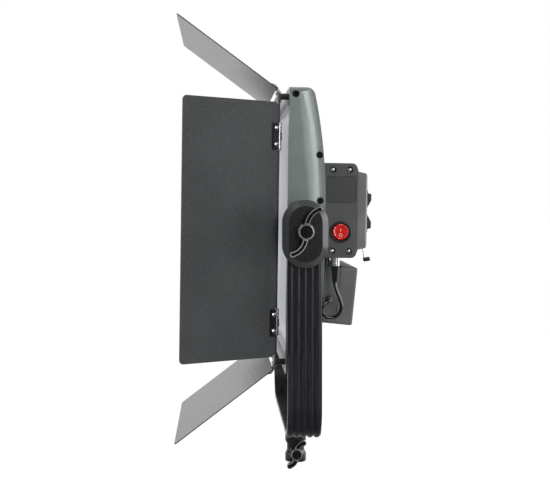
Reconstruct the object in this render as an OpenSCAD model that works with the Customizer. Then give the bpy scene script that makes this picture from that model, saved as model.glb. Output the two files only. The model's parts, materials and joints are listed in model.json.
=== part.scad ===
// LED panel light on a ribbed yoke, with four barn doors, a control box and a clipped-on mains adapter.
// Frame: origin at the mouth of the stand socket, +Z up, the light faces -Y, X runs across.

/* [Head] */
// Width of the light head over its end caps
head_w = 320; // [290:1:340]
// Height of the light head
head_h = 310; // [290:1:330]
// Lean of the head as set, nose up
head_lean = 0.85; // [0:0.05:3]
// Distance from the tilt axis to the front face
head_front = 18; // [16:0.5:22]
// Distance from the tilt axis to the flat of the back
head_back = 22.5; // [20:0.5:28]
// Height of the flat stretch in the middle of the back
back_flat = 60; // [50:2:80]
// Radius of the bow of the back above and below its flat
bow_r = 550; // [500:10:700]
// Radius of the rounded top and bottom edges of the back
corner_r = 11; // [9:0.5:13]
// Wall of the rear shell
shell_wall = 2.5; // [1.5:0.1:3.5]
// Thickness of each end cap
cap_t = 12; // [10:0.5:16]
// Thickness of the face of an end cap
cap_face = 8; // [6:0.5:9]
// Radius of an end cap's rounded top and bottom edges
cap_round = 9; // [4:0.5:11]
// Width of the rounded band down the rear of an end cap
crown_w = 14; // [8:0.5:18]
// Radius of that band
crown_r = 28; // [20:1:60]
// Width of the lip behind the band
lip_w = 3; // [1:0.5:5]
// Depth of the lip below the end cap's face
lip_drop = 4.4; // [4:0.1:5]
// Diameter of the blind plugs over the end cap screws
plug_d = 7.4; // [5:0.2:9]
// Distance of the front plugs behind the front face
front_plug_in = 6.5; // [6:0.5:9]
// Distance of the front plugs from the head's top and bottom edges
front_plug_edge = 8; // [7:0.5:12]
// Distance of the outer rear plugs in front of the flat of the back
outer_plug_in = 7.2; // [7:0.1:10]
// Height of the outer rear plugs, up and down from the tilt axis
outer_plug_z = 82.2; // [70:0.2:90]
// Distance of the inner rear plugs in front of the flat of the back
inner_plug_in = 5.9; // [5.6:0.1:8]
// Height of the inner rear plugs, up and down from the tilt axis
inner_plug_z = 33; // [28:0.5:45]

/* [Light engine] */
// Thickness of the front bezel
bezel_t = 3; // [2:0.5:4]
// Width of the bezel above and below the diffuser
bezel_rail = 20; // [16:1:26]
// Width of the bezel beside the diffuser
bezel_stile = 12; // [9:1:16]
// Thickness of the diffuser
diffuser_t = 2.5; // [1.5:0.5:3.5]
// Thickness of the LED circuit board
board_t = 1.6; // [1:0.2:2.4]
// Thickness of the heat spreader
spreader_t = 3; // [2:0.5:5]
// Distance from the tilt axis forward to the back of the heat spreader
spreader_back = 1; // [0:0.5:3]
// LEDs along each side of the square array
led_rows = 10; // [6:1:12]
// Spacing of the LEDs
led_pitch = 25; // [18:0.5:26]
// Width of one LED
led_w = 3.5; // [2:0.5:5]
// Height of one LED
led_h = 1; // [0.6:0.1:1.6]

/* [Tilt pivot] */
// Diameter of the tilt studs
stud_d = 8; // [6:0.5:9]
// Length of each stud inside the head
stud_grip = 9; // [7:0.5:10]
// Diameter of the threaded inserts in the end caps
insert_d = 20; // [16:0.5:22]
// Diameter of the insert's flange and of the friction washer
washer_d = 28; // [24:0.5:32]
// Thickness of the insert's flange
flange_t = 1.7; // [1.2:0.1:2]
// Thickness of the friction washer
washer_t = 1.5; // [1:0.1:2]

/* [Yoke] */
// Gap between the head and each arm
yoke_gap = 3.5; // [3.5:0.1:5]
// Width of the yoke's bar
bar_w = 37; // [33:0.5:41]
// Thickness of the bar without its ribs
bar_t = 5.5; // [4.5:0.5:7]
// Number of ribs along the bar
ribs = 5; // [4:1:6]
// Height of the ribs
rib_h = 1.8; // [1.2:0.1:2.2]
// Width of the groove between two ribs
groove_w = 0.9; // [0.6:0.1:1.4]
// Outer radius of the two bends
bend_r = 38; // [32:1:44]
// Distance from the tilt axis down to the underside of the yoke
yoke_drop = 227; // [222:1:236]
// Distance from the tilt axis up to the end of each arm
arm_top = 24; // [20:0.5:26]

/* [Pivot covers] */
// Outer radius of the round ends of a pivot cover
cover_r = 24.4; // [23:0.2:26]
// Radius of the round ends of its flat face
cover_face_r = 18; // [16:0.2:20]
// Distance from the tilt axis up to the centre of the upper round end
cover_up = 9.3; // [7:0.1:10]
// Distance from the tilt axis down to the centre of the lower round end
cover_down = 14.5; // [12:0.1:18]
// Height of a cover above the arm's ribs
cover_rise = 10; // [8:0.5:12]
// Height of the bevel round the cover's face
cover_bevel = 6; // [4:0.5:7]

/* [Lock levers] */
// Reach of a tilt lever's arms
lever_reach = 29.2; // [26:0.2:32]
// Width of a tilt lever's arms
lever_blade = 5.3; // [3.5:0.1:6]
// Height of a tilt lever's arms
lever_h = 9; // [7:0.5:12]
// Diameter of a tilt lever's hub
lever_hub_d = 16; // [13:0.5:17]
// Diameter of the steel collar under the hub
collar_d = 18.4; // [17:0.2:20]
// Thickness of the steel collar
collar_t = 3; // [2:0.5:4]
// Reach of the stand lever's arms
stand_reach = 16.8; // [15:0.2:20]
// Width of the stand lever's arms
stand_blade = 6; // [4:0.1:6.5]
// Height of the stand lever's arms
stand_lever_h = 9; // [7:0.5:12]
// Diameter of the stand lever's hub
stand_hub_d = 13; // [12:0.5:14]
// Diameter of the stand lever's screw
stand_screw_d = 6; // [5:0.5:7]

/* [Stand receiver] */
// Bore of the stand socket
socket_d = 16.2; // [16.1:0.05:16.4]
// Height from the mouth of the receiver to the underside of the yoke
receiver_top = 53; // [46:1:60]
// Depth of the stand socket
socket_depth = 38; // [32:1:42]
// Outer diameter of the receiver
receiver_d = 25.2; // [24:0.2:27]
// Diameter of the waist above the receiver's mouth
waist_d = 20.8; // [20:0.2:22]
// Height of the collar at the mouth
mouth_h = 9.5; // [7:0.5:10]
// Height of the lock screw above the mouth
lock_z = 11.5; // [11:0.5:14]
// Diameter of the bolt that holds the receiver to the yoke
yoke_bolt_d = 8; // [6:0.5:10]

/* [Control box] */
// Length of the control box across the back
box_w = 236; // [220:1:250]
// Lower edge of the box, below the tilt axis
box_low = 30; // [26:0.5:34]
// Upper edge of the box, above the tilt axis
box_high = 75; // [68:0.5:80]
// Distance from the tilt axis to the back of the box
box_back = 62; // [58:0.5:68]
// Radius of its rear edges
box_r = 6; // [4:0.5:7]
// Height of the slant beside each rear edge
corner_run = 8.6; // [6:0.2:10]
// Depth of that slant
corner_fall = 3; // [2:0.2:4]
// Wall of the box
box_wall = 2.5; // [2:0.1:3.5]
// Thickness of a side cover
side_t = 5; // [4:0.5:7]
// Distance of the side cover screws from the top and bottom edges
screw_inset = 7.4; // [6.5:0.1:9]
// Distance of the side cover screws from the rear edge
screw_rear = 10; // [9:0.1:12]
// Spacing of the side cover screws front to back
screw_span = 18.5; // [17:0.5:20]
// Diameter of a screw's counterbore
counterbore_d = 7.2; // [6.4:0.2:8]
// Depth of a screw's counterbore
counterbore_h = 3.2; // [2.4:0.1:3.5]
// Diameter of the small pan screw heads
pan_d = 5.2; // [5:0.1:6]
// Diameter of the small screws
screw_d = 3; // [2.5:0.1:3.2]
// Depth of the bare label area on a side cover
label_depth = 0.8; // [0.4:0.1:1.2]
// Depth of the rear cover
rear_t = 11.4; // [10:0.2:12]
// Inset of the rear cover from the box's ends
rear_inset = 6; // [4:0.5:10]
// Wall of the rear cover
rear_wall = 2.5; // [2:0.1:3]
// Draft of the rear cover's long sides
rear_draft = 10; // [4:1:14]
// Radius of the rear cover's long edges
rear_r = 4; // [2:0.5:5]
// Slope of the rear cover's ends
rear_slope = 5; // [2:0.5:6]
// Bevel of the rear cover's end edges
rear_bevel = 2; // [1:0.2:3]
// Width of the cable duct between the head and the box
duct_w = 80; // [60:1:90]
// Height of the duct
duct_h = 24; // [16:1:28]
// Distance from the tilt axis up to the duct
duct_low = 10; // [6:1:14]
// Length of the circuit board
circuit_w = 130; // [100:1:140]
// Distance of the circuit board behind the head
circuit_gap = 10; // [6:0.5:12]

/* [Switches] */
// Distance from the tilt axis back to the power switch
power_y = 42.8; // [40:0.2:46]
// Distance from the tilt axis up to the power switch
power_z = -1.2; // [-6:0.2:6]
// Diameter of the power switch's flange
power_d = 23.5; // [22:0.5:25]
// Diameter of the power switch's hole
power_hole_d = 20.2; // [19.4:0.2:21]
// Diameter of its round rocker
power_rocker_d = 18.4; // [17:0.2:18.4]
// Swing of the power rocker
power_swing = 16; // [12:1:20]
// Length of a rear rocker
rocker_len = 14; // [12:0.5:15]
// Width of a rear rocker
rocker_w = 9; // [7:0.5:12]
// Height of a rear rocker's ridge above its axle
ridge_h = 7.2; // [6.6:0.1:7.6]
// Swing of a rear rocker
rocker_swing = 28; // [22:1:30]
// Height of the upper rear rocker above the tilt axis
upper_rocker_z = 36; // [32:0.5:40]
// Height of the lower rear rocker above the tilt axis
lower_rocker_z = 8.6; // [6:0.2:12]

/* [Power supply] */
// Length of the adapter
brick_w = 175; // [150:1:190]
// Height of the adapter
brick_h = 66; // [60:1:68]
// Thickness of the adapter
brick_d = 39; // [34:0.5:40]
// Lean of the adapter, along the bowed back
brick_lean = 5; // [4:0.5:7]
// Distance from the tilt axis back to the adapter's middle
brick_y = 44; // [43.5:0.5:48]
// Distance from the tilt axis down to the adapter's middle
brick_drop = 73.5; // [73:0.5:78]
// Wall of the adapter's case
brick_wall = 2.2; // [1.6:0.1:3]
// Radius of the adapter's edges
brick_r = 3; // [2:0.5:5]
// Thickness of the sheet of the adapter's cradle
cradle_t = 2; // [1.5:0.1:2.2]
// Length of the cradle
cradle_w = 120; // [100:1:150]
// Length of each of its lips
lip_len = 20; // [12:1:30]
// Depth of its lips
lip_deep = 14; // [8:0.5:20]
// Diameter of its feet
foot_d = 12; // [8:0.5:16]
// Distance of its feet from the middle, across
foot_x = 48; // [30:1:50]
// Distance of its feet from the adapter's middle, up and down
foot_z = 18; // [12:1:22]
// Diameter of the low-voltage lead
lead_d = 4; // [3.5:0.1:4.5]
// Diameter of the plug's lock ring
ring_d = 9; // [8:0.5:10]
// Length of the plug's lock ring
ring_len = 7.8; // [6:0.2:9]
// Distance from the tilt axis back to the plug
plug_y = 38.6; // [38:0.1:40]
// Distance of the plug from the left end of the control box
plug_inset = 14; // [12:0.5:16]

/* [Barn doors] */
// Thickness of the barn door frame
frame_t = 2.4; // [2:0.1:3]
// Distance from the tilt axis to the front of the frame
frame_front = 30; // [29:0.5:32]
// Width of the frame's members
member_w = 13; // [11:0.5:15]
// Distance from the head's top and bottom in to the hinge axes
hinge_inset = 5.2; // [3:0.1:6]
// Distance from the head's sides in to the hinge axes
side_hinge_inset = 5; // [3:0.1:6]
// Height of the doors' middle above the tilt axis
doors_lift = 1.2; // [0:0.1:3]
// Thickness of a leaf
leaf_t = 1.2; // [0.8:0.1:1.5]
// Length of the top and bottom leaves from hinge to edge
tall_leaf = 137.5; // [120:0.5:140]
// Width of the top and bottom leaves
tall_leaf_w = 289; // [270:1:292]
// Length of the side leaves from hinge to edge
side_leaf = 127.5; // [110:0.5:130]
// Width of the side leaves
side_leaf_w = 273.6; // [250:0.2:276]
// Flare of the top leaf from straight ahead, as set
top_flare = 35.7; // [30:0.1:40]
// Flare of the bottom leaf from straight ahead, as set
bottom_flare = 38; // [30:0.1:40]
// Flare of the side leaves from straight ahead, as set
side_flare = 36.5; // [30:0.1:40]
// Radius of the leaves' corners
leaf_r = 5; // [3:0.5:10]
// Radius of a hinge knuckle
knuckle_r = 2.2; // [1.8:0.1:2.4]
// Diameter of a hinge pin
pin_d = 2; // [1.6:0.1:2.2]
// Length of a hinge
hinge_len = 29; // [26:1:34]
// Length of a hinge plate across
plate_len = 11; // [9:0.5:11]
// Thickness of a hinge plate
plate_t = 1.5; // [1:0.1:1.8]
// Distance of the hinges from the middle of a side leaf
side_hinge_at = 100; // [85:1:105]
// Distance of the hinges from the middle of the top or bottom leaf
tall_hinge_at = 122; // [85:1:124]
// Diameter of the corner posts between frame and head
post_d = 7; // [5:0.5:8]

/* [Hidden] */
$fn = 48;

// Clearances
seat = 0.1;     // between pieces that are screwed or pushed together
turn = 0.3;     // between pieces that move past each other
fit = 0.05;     // on the radius of a shaft in its bore

// Colours
BLACK = "#26282b";
SATIN = "#3c3e41";
CASE = "#6d7472";
ABS = "#4a4b4a";
STEEL = "#c9ccd0";
WHITE = "#eef0f2";

// Head: centres and limits of its side outline
cap_x = head_w / 2 - cap_t;
bow_y = head_back - bow_r;
bow_z = back_flat / 2;
corner_z = head_h / 2 - corner_r;
corner_y = bow_y + sqrt(pow(bow_r - corner_r, 2) - pow(corner_z - bow_z, 2));
tangent_z = bow_z + (corner_z - bow_z) * bow_r / (bow_r - corner_r);

// Yoke
arm_in = head_w / 2 + yoke_gap;
rib_top = bar_t + rib_h;
arm_out = arm_in + rib_top;
cover_out = arm_out + cover_rise;
rib_pitch = bar_w / ribs;
rib_half = (rib_pitch - groove_w) / 2;
rib_r = (rib_half * rib_half + rib_h * rib_h) / (2 * rib_h);

// Tilt axis and receiver
pivot_z = receiver_top + yoke_drop;
waist_low = mouth_h + 4.5;
waist_high = mouth_h + 11.5;

// End caps: tops and floors of the plugs
plug_out = head_w / 2 - lip_drop + 0.4;
plug_in = plug_out - 2.4;

// Light engine
engine_w = 2 * cap_x - 2 * seat;
engine_h = head_h - 2 * shell_wall - 2 * seat;
bezel_back = head_front - bezel_t;
board_front = spreader_back + spreader_t + board_t;

// Control box
box_in = box_w / 2 - side_t;
rear_back = box_back + rear_t;
rear_x = box_w / 2 - rear_inset;
rear_low = box_low - corner_run - 0.4;
rear_high = box_high - corner_run - 0.4;
power_axle = box_w / 2 - 2;
rocker_axle = rear_back - 2;
body_w = rocker_w + 4.8;
body_h = rocker_len + 5.8;
body_deep = 7;
rocker_x = rear_x - rear_slope - rear_bevel - turn - body_w / 2;
release_x = rear_x - 16;
release_y = rear_back - 3.5;
release_z = 4 - rear_low;
release_lean = 10;
wire_d = 1.6;
wire_len = 14;
boss_len = 4;
plug_x = box_w / 2 - plug_inset;

// Adapter
flange_low = 1.5;
boot_top = -box_low - flange_low - seat - ring_len;

// Barn doors
hinge_y = frame_front - 0.4;
hinge_z = head_h / 2 - hinge_inset;
hinge_x = head_w / 2 - side_hinge_inset;
frame_z = hinge_z - knuckle_r - 0.4;
frame_x = hinge_x - knuckle_r - 0.4;
tall_low = 0.8;
side_low = tall_low + leaf_t + 0.6;
leaf_start = 3.2;
post_x = min(frame_x - member_w / 2, cap_x - post_d / 2 - 0.5);
post_z = frame_z - post_d / 2;

// Route of the low-voltage lead, adapter to plug: across from the plug, back and up from the tilt axis
ROUTE = [
    [-5, 34, -78], [-3, 33.8, -78], [0, 32.6, -78.6], [2.4, 30.2, -80], [3.7, 27, -82.2],
    [4, 24.6, -85.6], [3.4, 24, -89.6], [2.4, 25.6, -93.4], [1.4, 29, -96.2], [0.7, 33.2, -97.6],
    [0.3, 37.6, -97.4], [0, 41.6, -95.4], [0, 44.6, -92], [0, 46.2, -87.8], [0, 46.4, -83.2],
    [0, 45.4, -78.6], [0, 43.6, -73.8], [0, 41.6, -69], [0, 39.8, -64], [0, plug_y, -59.5],
    [0, plug_y, -57]
];
LEAD = [for (p = ROUTE) p + [plug_x, 0, 0]];

// ---- helpers ----

// Places children, drawn from the tilt axis, at the tilt axis
module from_pivot() {
    translate([0, 0, pivot_z]) children();
}

// Places children, drawn in the level head from the tilt axis, in the head as it is set
module from_head() {
    from_pivot() rotate([-head_lean, 0, 0]) children();
}

// Extrudes a Y-Z drawing along X, centred
module across(width) {
    rotate([90, 0, 90]) linear_extrude(width, center = true) children();
}

// Places children, drawn along X, at the outer side of side s: 1 is left (+X), -1 is right
module at_side(s) {
    rotate([0, 0, s > 0 ? 0 : 180]) children();
}

// Mirrors children, drawn at the left end, to end s
module at_end(s) {
    mirror([s > 0 ? 0 : 1, 0, 0]) children();
}

// Cylinder along X from x0 to x1
module shaft(d, x0, x1) {
    translate([x0, 0, 0]) rotate([0, 90, 0]) cylinder(d = d, h = x1 - x0);
}

// Round-cornered rectangle, centred
module soft_square(size, r) {
    square([size[0] - 2 * r, size[1]], center = true);
    square([size[0], size[1] - 2 * r], center = true);
    for (x = [-1, 1])
        for (y = [-1, 1])
            translate([x * (size[0] / 2 - r), y * (size[1] / 2 - r)]) circle(r = r);
}

// Slab of the bowed back, h thick, tapering from one inset to another; it runs far in front of the head.
// Drawn with x back, y up and its thickness along z.
module bow_slab(h, low, high) {
    for (s = [-1, 1])
        translate([bow_y, s * bow_z, 0]) cylinder(h = h, r1 = bow_r - low, r2 = bow_r - high, $fn = 360);
    translate([0, bow_z, 0]) rotate([90, 0, 0]) linear_extrude(back_flat)
        polygon([[bow_y, 0], [head_back - low, 0], [head_back - high, h], [bow_y, h]]);
}

// Slab of the head's whole side outline, inset all round
module head_slab(h, inset) {
    for (s = [-1, 1])
        translate([corner_y, s * corner_z, 0]) cylinder(h = h, r = corner_r - inset);
    translate([-head_front, inset - head_h / 2, 0]) cube([head_front + corner_y, head_h - 2 * inset, h]);
    intersection() {
        bow_slab(h, inset, inset);
        translate([-head_front, -tangent_z, -1]) cube([head_front + head_back + 1, 2 * tangent_z, h + 2]);
    }
}

// Fall of an end cap's rounded band at a distance from its front edge
function crown_fall(x) = round(100 * (crown_r - sqrt(crown_r * crown_r - x * x))) / 100;

// Bowed slab of an end cap, deep thick: lip, rounded band in facets and flat face
module crowned_slab(deep) {
    steps = 4;
    foot = deep - crown_fall(crown_w);
    bow_slab(deep - lip_drop, 0, 0);
    translate([0, 0, deep - lip_drop]) bow_slab(foot - deep + lip_drop, lip_w, lip_w);
    for (i = [1 : steps]) {
        rear = i * crown_w / steps;
        front = (i - 1) * crown_w / steps;
        low = deep - crown_fall(rear);
        high = deep - crown_fall(front);
        translate([0, 0, low]) bow_slab(high - low, lip_w + crown_w - rear, lip_w + crown_w - front);
    }
}

// Section of an end cap across, with its rounded top and bottom edges
module cap_ends(deep) {
    translate([-head_h / 2, 0]) square([head_h, deep - cap_round]);
    translate([cap_round - head_h / 2, 0]) square([head_h - 2 * cap_round, deep]);
    for (s = [-1, 1])
        translate([s * (head_h / 2 - cap_round), deep - cap_round]) circle(r = cap_round);
}

// Head outline extruded across the middle
module head_bar(width, inset) {
    translate([-width / 2, 0, 0]) rotate([90, 0, 90]) head_slab(width, inset);
}

// Two-armed S-shaped lever, h high, on a round hub; its arms are a little thinner than the hub
module wing(reach, blade, h, hub_d) {
    arc_r = 0.64 * reach;
    cylinder(d = hub_d, h = h);
    for (turned = [0, 180])
        rotate([0, 0, turned]) translate([0.668 * reach, 0.199 * reach, 0.5]) {
            rotate([0, 0, 106]) rotate_extrude(angle = 76)
                translate([arc_r - blade / 2, 0]) square([blade, h - 1]);
            rotate([0, 0, 106.5]) translate([arc_r, 0, 0]) cylinder(d = blade + 0.8, h = h - 1);
        }
}

// A screw along +Z: shank below z = 0, pan head above
module pan_screw(length) {
    translate([0, 0, -length]) cylinder(d = screw_d, h = length);
    difference() {
        intersection() {
            cylinder(d = pan_d, h = 2);
            translate([0, 0, -2.6]) sphere(r = 4.6);
        }
        for (turned = [0, 90])
            rotate([0, 0, turned]) translate([-1.5, -0.35, 1]) cube([3, 0.7, 2]);
    }
}

// ---- yoke and its fittings ----

// Section of the bar: x from its inner to its ribbed side, y across its width
module bar_section(grow = 0) {
    translate([0, -bar_w / 2 - grow]) square([bar_t + grow, bar_w + 2 * grow]);
    intersection() {
        translate([bar_t / 2, -bar_w / 2]) square([rib_top, bar_w]);
        for (i = [0 : ribs - 1])
            translate([rib_top - rib_r, (i + 0.5) * rib_pitch - bar_w / 2]) circle(r = rib_r + grow);
    }
}

module yoke_bar() {
    for (s = [1, -1])
        at_side(s) {
            translate([arm_in, 0, bend_r - yoke_drop])
                linear_extrude(yoke_drop - bend_r + arm_top) bar_section();
            translate([arm_out - bend_r, 0, bend_r - yoke_drop]) rotate([-90, 0, 0])
                rotate_extrude(angle = 90) translate([bend_r - rib_top, 0]) bar_section();
        }
    translate([-(arm_out - bend_r), 0, rib_top - yoke_drop]) rotate([0, 90, 0])
        linear_extrude(2 * (arm_out - bend_r)) bar_section();
}

module yoke() {
    color(BLACK) from_pivot() difference() {
        yoke_bar();
        for (s = [1, -1])
            at_side(s) shaft(stud_d + 0.8, arm_in - 1, arm_out + 1);
        translate([0, 0, -yoke_drop - 1]) cylinder(d = yoke_bolt_d + 2 * fit, h = rib_top + 2);
    }
}

// Stadium frustum of a pivot cover: z is its height, from the arm's inner face outwards
module cover_form() {
    straight = cover_out - cover_bevel - arm_in - turn;
    for (lift = [cover_up, -cover_down])
        translate([0, lift, 0]) {
            cylinder(r = cover_r, h = straight);
            translate([0, 0, straight]) cylinder(r1 = cover_r, r2 = cover_face_r, h = cover_bevel);
        }
    translate([0, cover_up, 0]) rotate([90, 0, 0]) linear_extrude(cover_up + cover_down)
        polygon([[-cover_r, 0], [cover_r, 0], [cover_r, straight], [cover_face_r, straight + cover_bevel],
            [-cover_face_r, straight + cover_bevel], [-cover_r, straight]]);
}

module pivot_cover(s) {
    color(BLACK) from_pivot() at_side(s) difference() {
        translate([arm_in + turn, 0, 0]) rotate([90, 0, 90]) cover_form();
        translate([arm_in, 0, -yoke_drop]) linear_extrude(yoke_drop + arm_top + seat) bar_section(seat);
        shaft(stud_d + 0.8, arm_in - 1, cover_out + 1);
    }
}

// Receiver: a turned body with a waist, drilled for the stand's spigot, the lock screw and the yoke's bolt
module stand_receiver() {
    color(BLACK) difference() {
        rotate_extrude()
            polygon([[0, 0], [receiver_d / 2 - 1, 0], [receiver_d / 2, 1], [receiver_d / 2, mouth_h],
                [waist_d / 2, waist_low], [waist_d / 2, waist_high], [receiver_d / 2, waist_high + 4],
                [receiver_d / 2, receiver_top + rib_top], [0, receiver_top + rib_top]]);
        translate([0, 0, -1]) cylinder(d = socket_d, h = socket_depth + 1);
        translate([0, 0, lock_z]) shaft(stand_screw_d + 2 * fit, 0, receiver_d);
        cylinder(d = yoke_bolt_d + 2 * fit, h = receiver_top + rib_top + 1);
        translate([0, 0, receiver_top + rib_top]) rotate([0, 90, 0])
            linear_extrude(2 * receiver_d, center = true) bar_section(fit);
    }
}

module yoke_bolt() {
    inner = receiver_top + rib_top;
    color(STEEL) {
        translate([0, 0, socket_depth + 2]) cylinder(d = yoke_bolt_d, h = inner - socket_depth - 2);
        difference() {
            translate([0, 0, inner]) cylinder(d = 1.7 * yoke_bolt_d, h = 0.55 * yoke_bolt_d);
            translate([0, 0, inner + 1.5]) cylinder(d = 5.8, h = yoke_bolt_d, $fn = 6);
        }
    }
}

// ---- lock levers ----

module tilt_lever(s) {
    color(BLACK) from_pivot() at_side(s) translate([cover_out + turn + collar_t, 0, 0]) rotate([90, 0, 90])
        difference() {
            wing(lever_reach, lever_blade, lever_h, lever_hub_d);
            translate([0, 0, -1]) cylinder(d = stud_d + 2 * fit, h = 7);
        }
}

module tilt_stud(s) {
    color(STEEL) from_pivot() at_side(s) {
        shaft(stud_d, head_w / 2 - stud_grip, cover_out + turn + collar_t + 5);
        shaft(collar_d, cover_out + turn, cover_out + turn + collar_t);
    }
}

lock_seat = receiver_d / 2 + turn;

module stand_lever() {
    color(BLACK) translate([lock_seat + 3, 0, lock_z]) rotate([90, 0, 90]) difference() {
        wing(stand_reach, stand_blade, stand_lever_h, stand_hub_d);
        translate([0, 0, -1]) cylinder(d = stand_screw_d + 2 * fit, h = 6);
    }
}

module stand_lever_screw() {
    color(STEEL) translate([0, 0, lock_z]) {
        shaft(stand_screw_d, socket_d / 2 + 0.5, lock_seat + 7);
        shaft(stand_hub_d - 2, lock_seat, lock_seat + 3);
    }
}

// ---- head ----

module rear_shell() {
    color(CASE) from_head() difference() {
        head_bar(2 * cap_x, 0);
        difference() {
            head_bar(2 * cap_x + 2, shell_wall);
            for (s = [1, -1])
                translate([-head_w, seat - spreader_back, s * (head_h / 2 - 4) - 4])
                    cube([2 * head_w, 2, 8]);
        }
        translate([-head_w, -head_front - 1, -head_h]) cube([2 * head_w, bezel_t + 1, 2 * head_h]);
        translate([-duct_w / 2, head_back - 2 * shell_wall, duct_low]) cube([duct_w, 3 * shell_wall, duct_h]);
    }
}

// Places of the plugs over the cap screws: back and up from the tilt axis
PLUGS = [
    [front_plug_in - head_front, head_h / 2 - front_plug_edge],
    [head_back - outer_plug_in, outer_plug_z],
    [head_back - inner_plug_in, inner_plug_z]
];

module at_plugs() {
    for (p = PLUGS)
        for (s = [1, -1])
            translate([0, p[0], s * p[1]]) children();
}

module end_cap(s) {
    deep = cap_t - seat;
    color(CASE) from_head() at_end(s) difference() {
        translate([cap_x + seat, 0, 0]) rotate([90, 0, 90]) intersection() {
            head_slab(deep, 0);
            crowned_slab(deep);
            translate([-head_w, 0, 0]) rotate([90, 0, 90]) linear_extrude(2 * head_w) cap_ends(deep);
        }
        translate([cap_x - 1, 0, 0]) rotate([90, 0, 90]) intersection() {
            head_slab(cap_t - cap_face + 1, shell_wall + 2);
            translate([4 - head_front, -head_h, -1]) cube([head_h, 2 * head_h, cap_t + 2]);
        }
        shaft(insert_d, cap_x - 1, head_w / 2 + 1);
        at_plugs() shaft(plug_d + 2 * seat, plug_in - seat, head_w / 2 + 1);
    }
}

module screw_plugs() {
    color(BLACK) from_head()
        for (s = [1, -1])
            at_end(s) at_plugs() difference() {
                shaft(plug_d, plug_in, plug_out);
                shaft(3.2, plug_out - 0.6, plug_out + 1, $fn = 6);
            }
}

module pivot_inserts() {
    color(STEEL) from_head()
        for (s = [1, -1])
            at_side(s) difference() {
                union() {
                    shaft(insert_d, head_w / 2 - stud_grip - 1, head_w / 2);
                    shaft(washer_d, head_w / 2, head_w / 2 + flange_t);
                }
                shaft(stud_d + 2 * fit, head_w / 2 - stud_grip - 2, arm_in);
            }
}

module friction_washers() {
    color(SATIN) from_head()
        for (s = [1, -1])
            at_side(s) difference() {
                shaft(washer_d, head_w / 2 + flange_t, head_w / 2 + flange_t + washer_t);
                shaft(stud_d + 2 * fit, head_w / 2, arm_in);
            }
}

module front_bezel() {
    window_w = 2 * (cap_x - bezel_stile);
    window_h = head_h - 2 * bezel_rail;
    color("#cfd1d3") from_head() translate([0, -bezel_back, 0]) rotate([90, 0, 0])
        linear_extrude(bezel_t) difference() {
            square([2 * cap_x, head_h], center = true);
            soft_square([window_w, window_h], 4);
        }
}

module engine_plate(front, t) {
    from_head() translate([-engine_w / 2, -front, -engine_h / 2]) cube([engine_w, t, engine_h]);
}

module diffuser() {
    color(WHITE) engine_plate(bezel_back, diffuser_t);
}

module led_board() {
    color(WHITE) from_head() translate([0, -board_front, 0])
        translate([-engine_w / 2 + 4, 0, -engine_h / 2 + 14]) cube([engine_w - 8, board_t, engine_h - 28]);
}

module leds() {
    color("#f6e9a8") from_head()
        for (i = [0 : led_rows - 1])
            for (j = [0 : led_rows - 1])
                translate([(i - (led_rows - 1) / 2) * led_pitch, -board_front - led_h / 2,
                    (j - (led_rows - 1) / 2) * led_pitch])
                    cube([led_w, led_h, led_w], center = true);
}

module heat_spreader() {
    color("#b8bcc0") engine_plate(spreader_back + spreader_t, spreader_t);
}

// ---- control box ----

// Side outline of the box, x back and y up, less an inset
module box_outline(inset) {
    r = box_r - inset;
    top = box_high - inset;
    low = -box_low + inset;
    back = box_back - inset;
    slant = atan2(corner_run, corner_fall);
    t = r * tan(slant / 2);
    flat = back - corner_fall - t;
    end_y = flat + t * (1 + cos(slant));
    end_z = t * sin(slant);
    polygon([[0, low], [flat, low], [end_y, low + end_z], [back, low + corner_run],
        [back, top - corner_run], [end_y, top - end_z], [flat, top], [0, top]]);
    for (z = [low + r, top - r])
        translate([flat, z]) circle(r = r);
}

// Places of the side cover's screws: back and up from the tilt axis
module at_cover_screws() {
    for (y = [box_back - screw_rear - screw_span, box_back - screw_rear])
        for (z = [screw_inset - box_low, box_high - screw_inset])
            translate([0, y, z]) children();
}

module control_box() {
    color(ABS) from_head() difference() {
        union() {
            difference() {
                across(2 * box_in) box_outline(0);
                across(2 * box_w) box_outline(box_wall);
            }
            across(2 * box_in) intersection() {
                box_outline(0);
                square([2 * (head_back + box_wall), 3 * box_high], center = true);
            }
            for (s = [1, -1])
                at_cover_screws() at_end(s)
                    shaft(2 * (screw_inset - box_wall) + 1, box_in - boss_len, box_in);
        }
        head_bar(2 * head_w, -seat);
        for (s = [1, -1])
            at_cover_screws() at_end(s) shaft(screw_d + 2 * fit, box_in - boss_len - 1, box_in + 1);
        translate([-rear_x + 12, box_back - 2 * box_wall, 6 - rear_low])
            cube([2 * rear_x - 24, 3 * box_wall, rear_high + rear_low - 12]);
        translate([-duct_w / 2, 0, duct_low]) cube([duct_w, box_back / 2, duct_h]);
        translate([plug_x, plug_y, -box_low - 1]) cylinder(d = ring_d + 2 * seat, h = box_wall + 2);
    }
}

module side_cover(s) {
    label_h = 28.6;
    color(ABS) from_head() at_end(s) difference() {
        translate([box_in + side_t / 2, 0, 0]) across(side_t) box_outline(0);
        head_bar(2 * head_w, -seat);
        at_cover_screws() {
            shaft(screw_d + 2 * fit, box_in - 1, box_w / 2 + 1);
            shaft(counterbore_d, box_w / 2 - counterbore_h, box_w / 2 + 1);
        }
        translate([box_w / 2 + 0.5, (head_back + box_back + 1.2) / 2, box_high - 15 - label_h / 2])
            across(2 * label_depth + 1) soft_square([box_back - head_back - 7.2, label_h], 3);
        if (s > 0)
            translate([0, power_y, power_z]) shaft(power_hole_d, box_in - 1, box_w / 2 + 1);
    }
}

module side_cover_screws() {
    color(STEEL) from_head()
        for (s = [1, -1])
            at_end(s) at_cover_screws()
                translate([box_w / 2 - counterbore_h, 0, 0]) rotate([0, 90, 0]) pan_screw(6);
}

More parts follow.
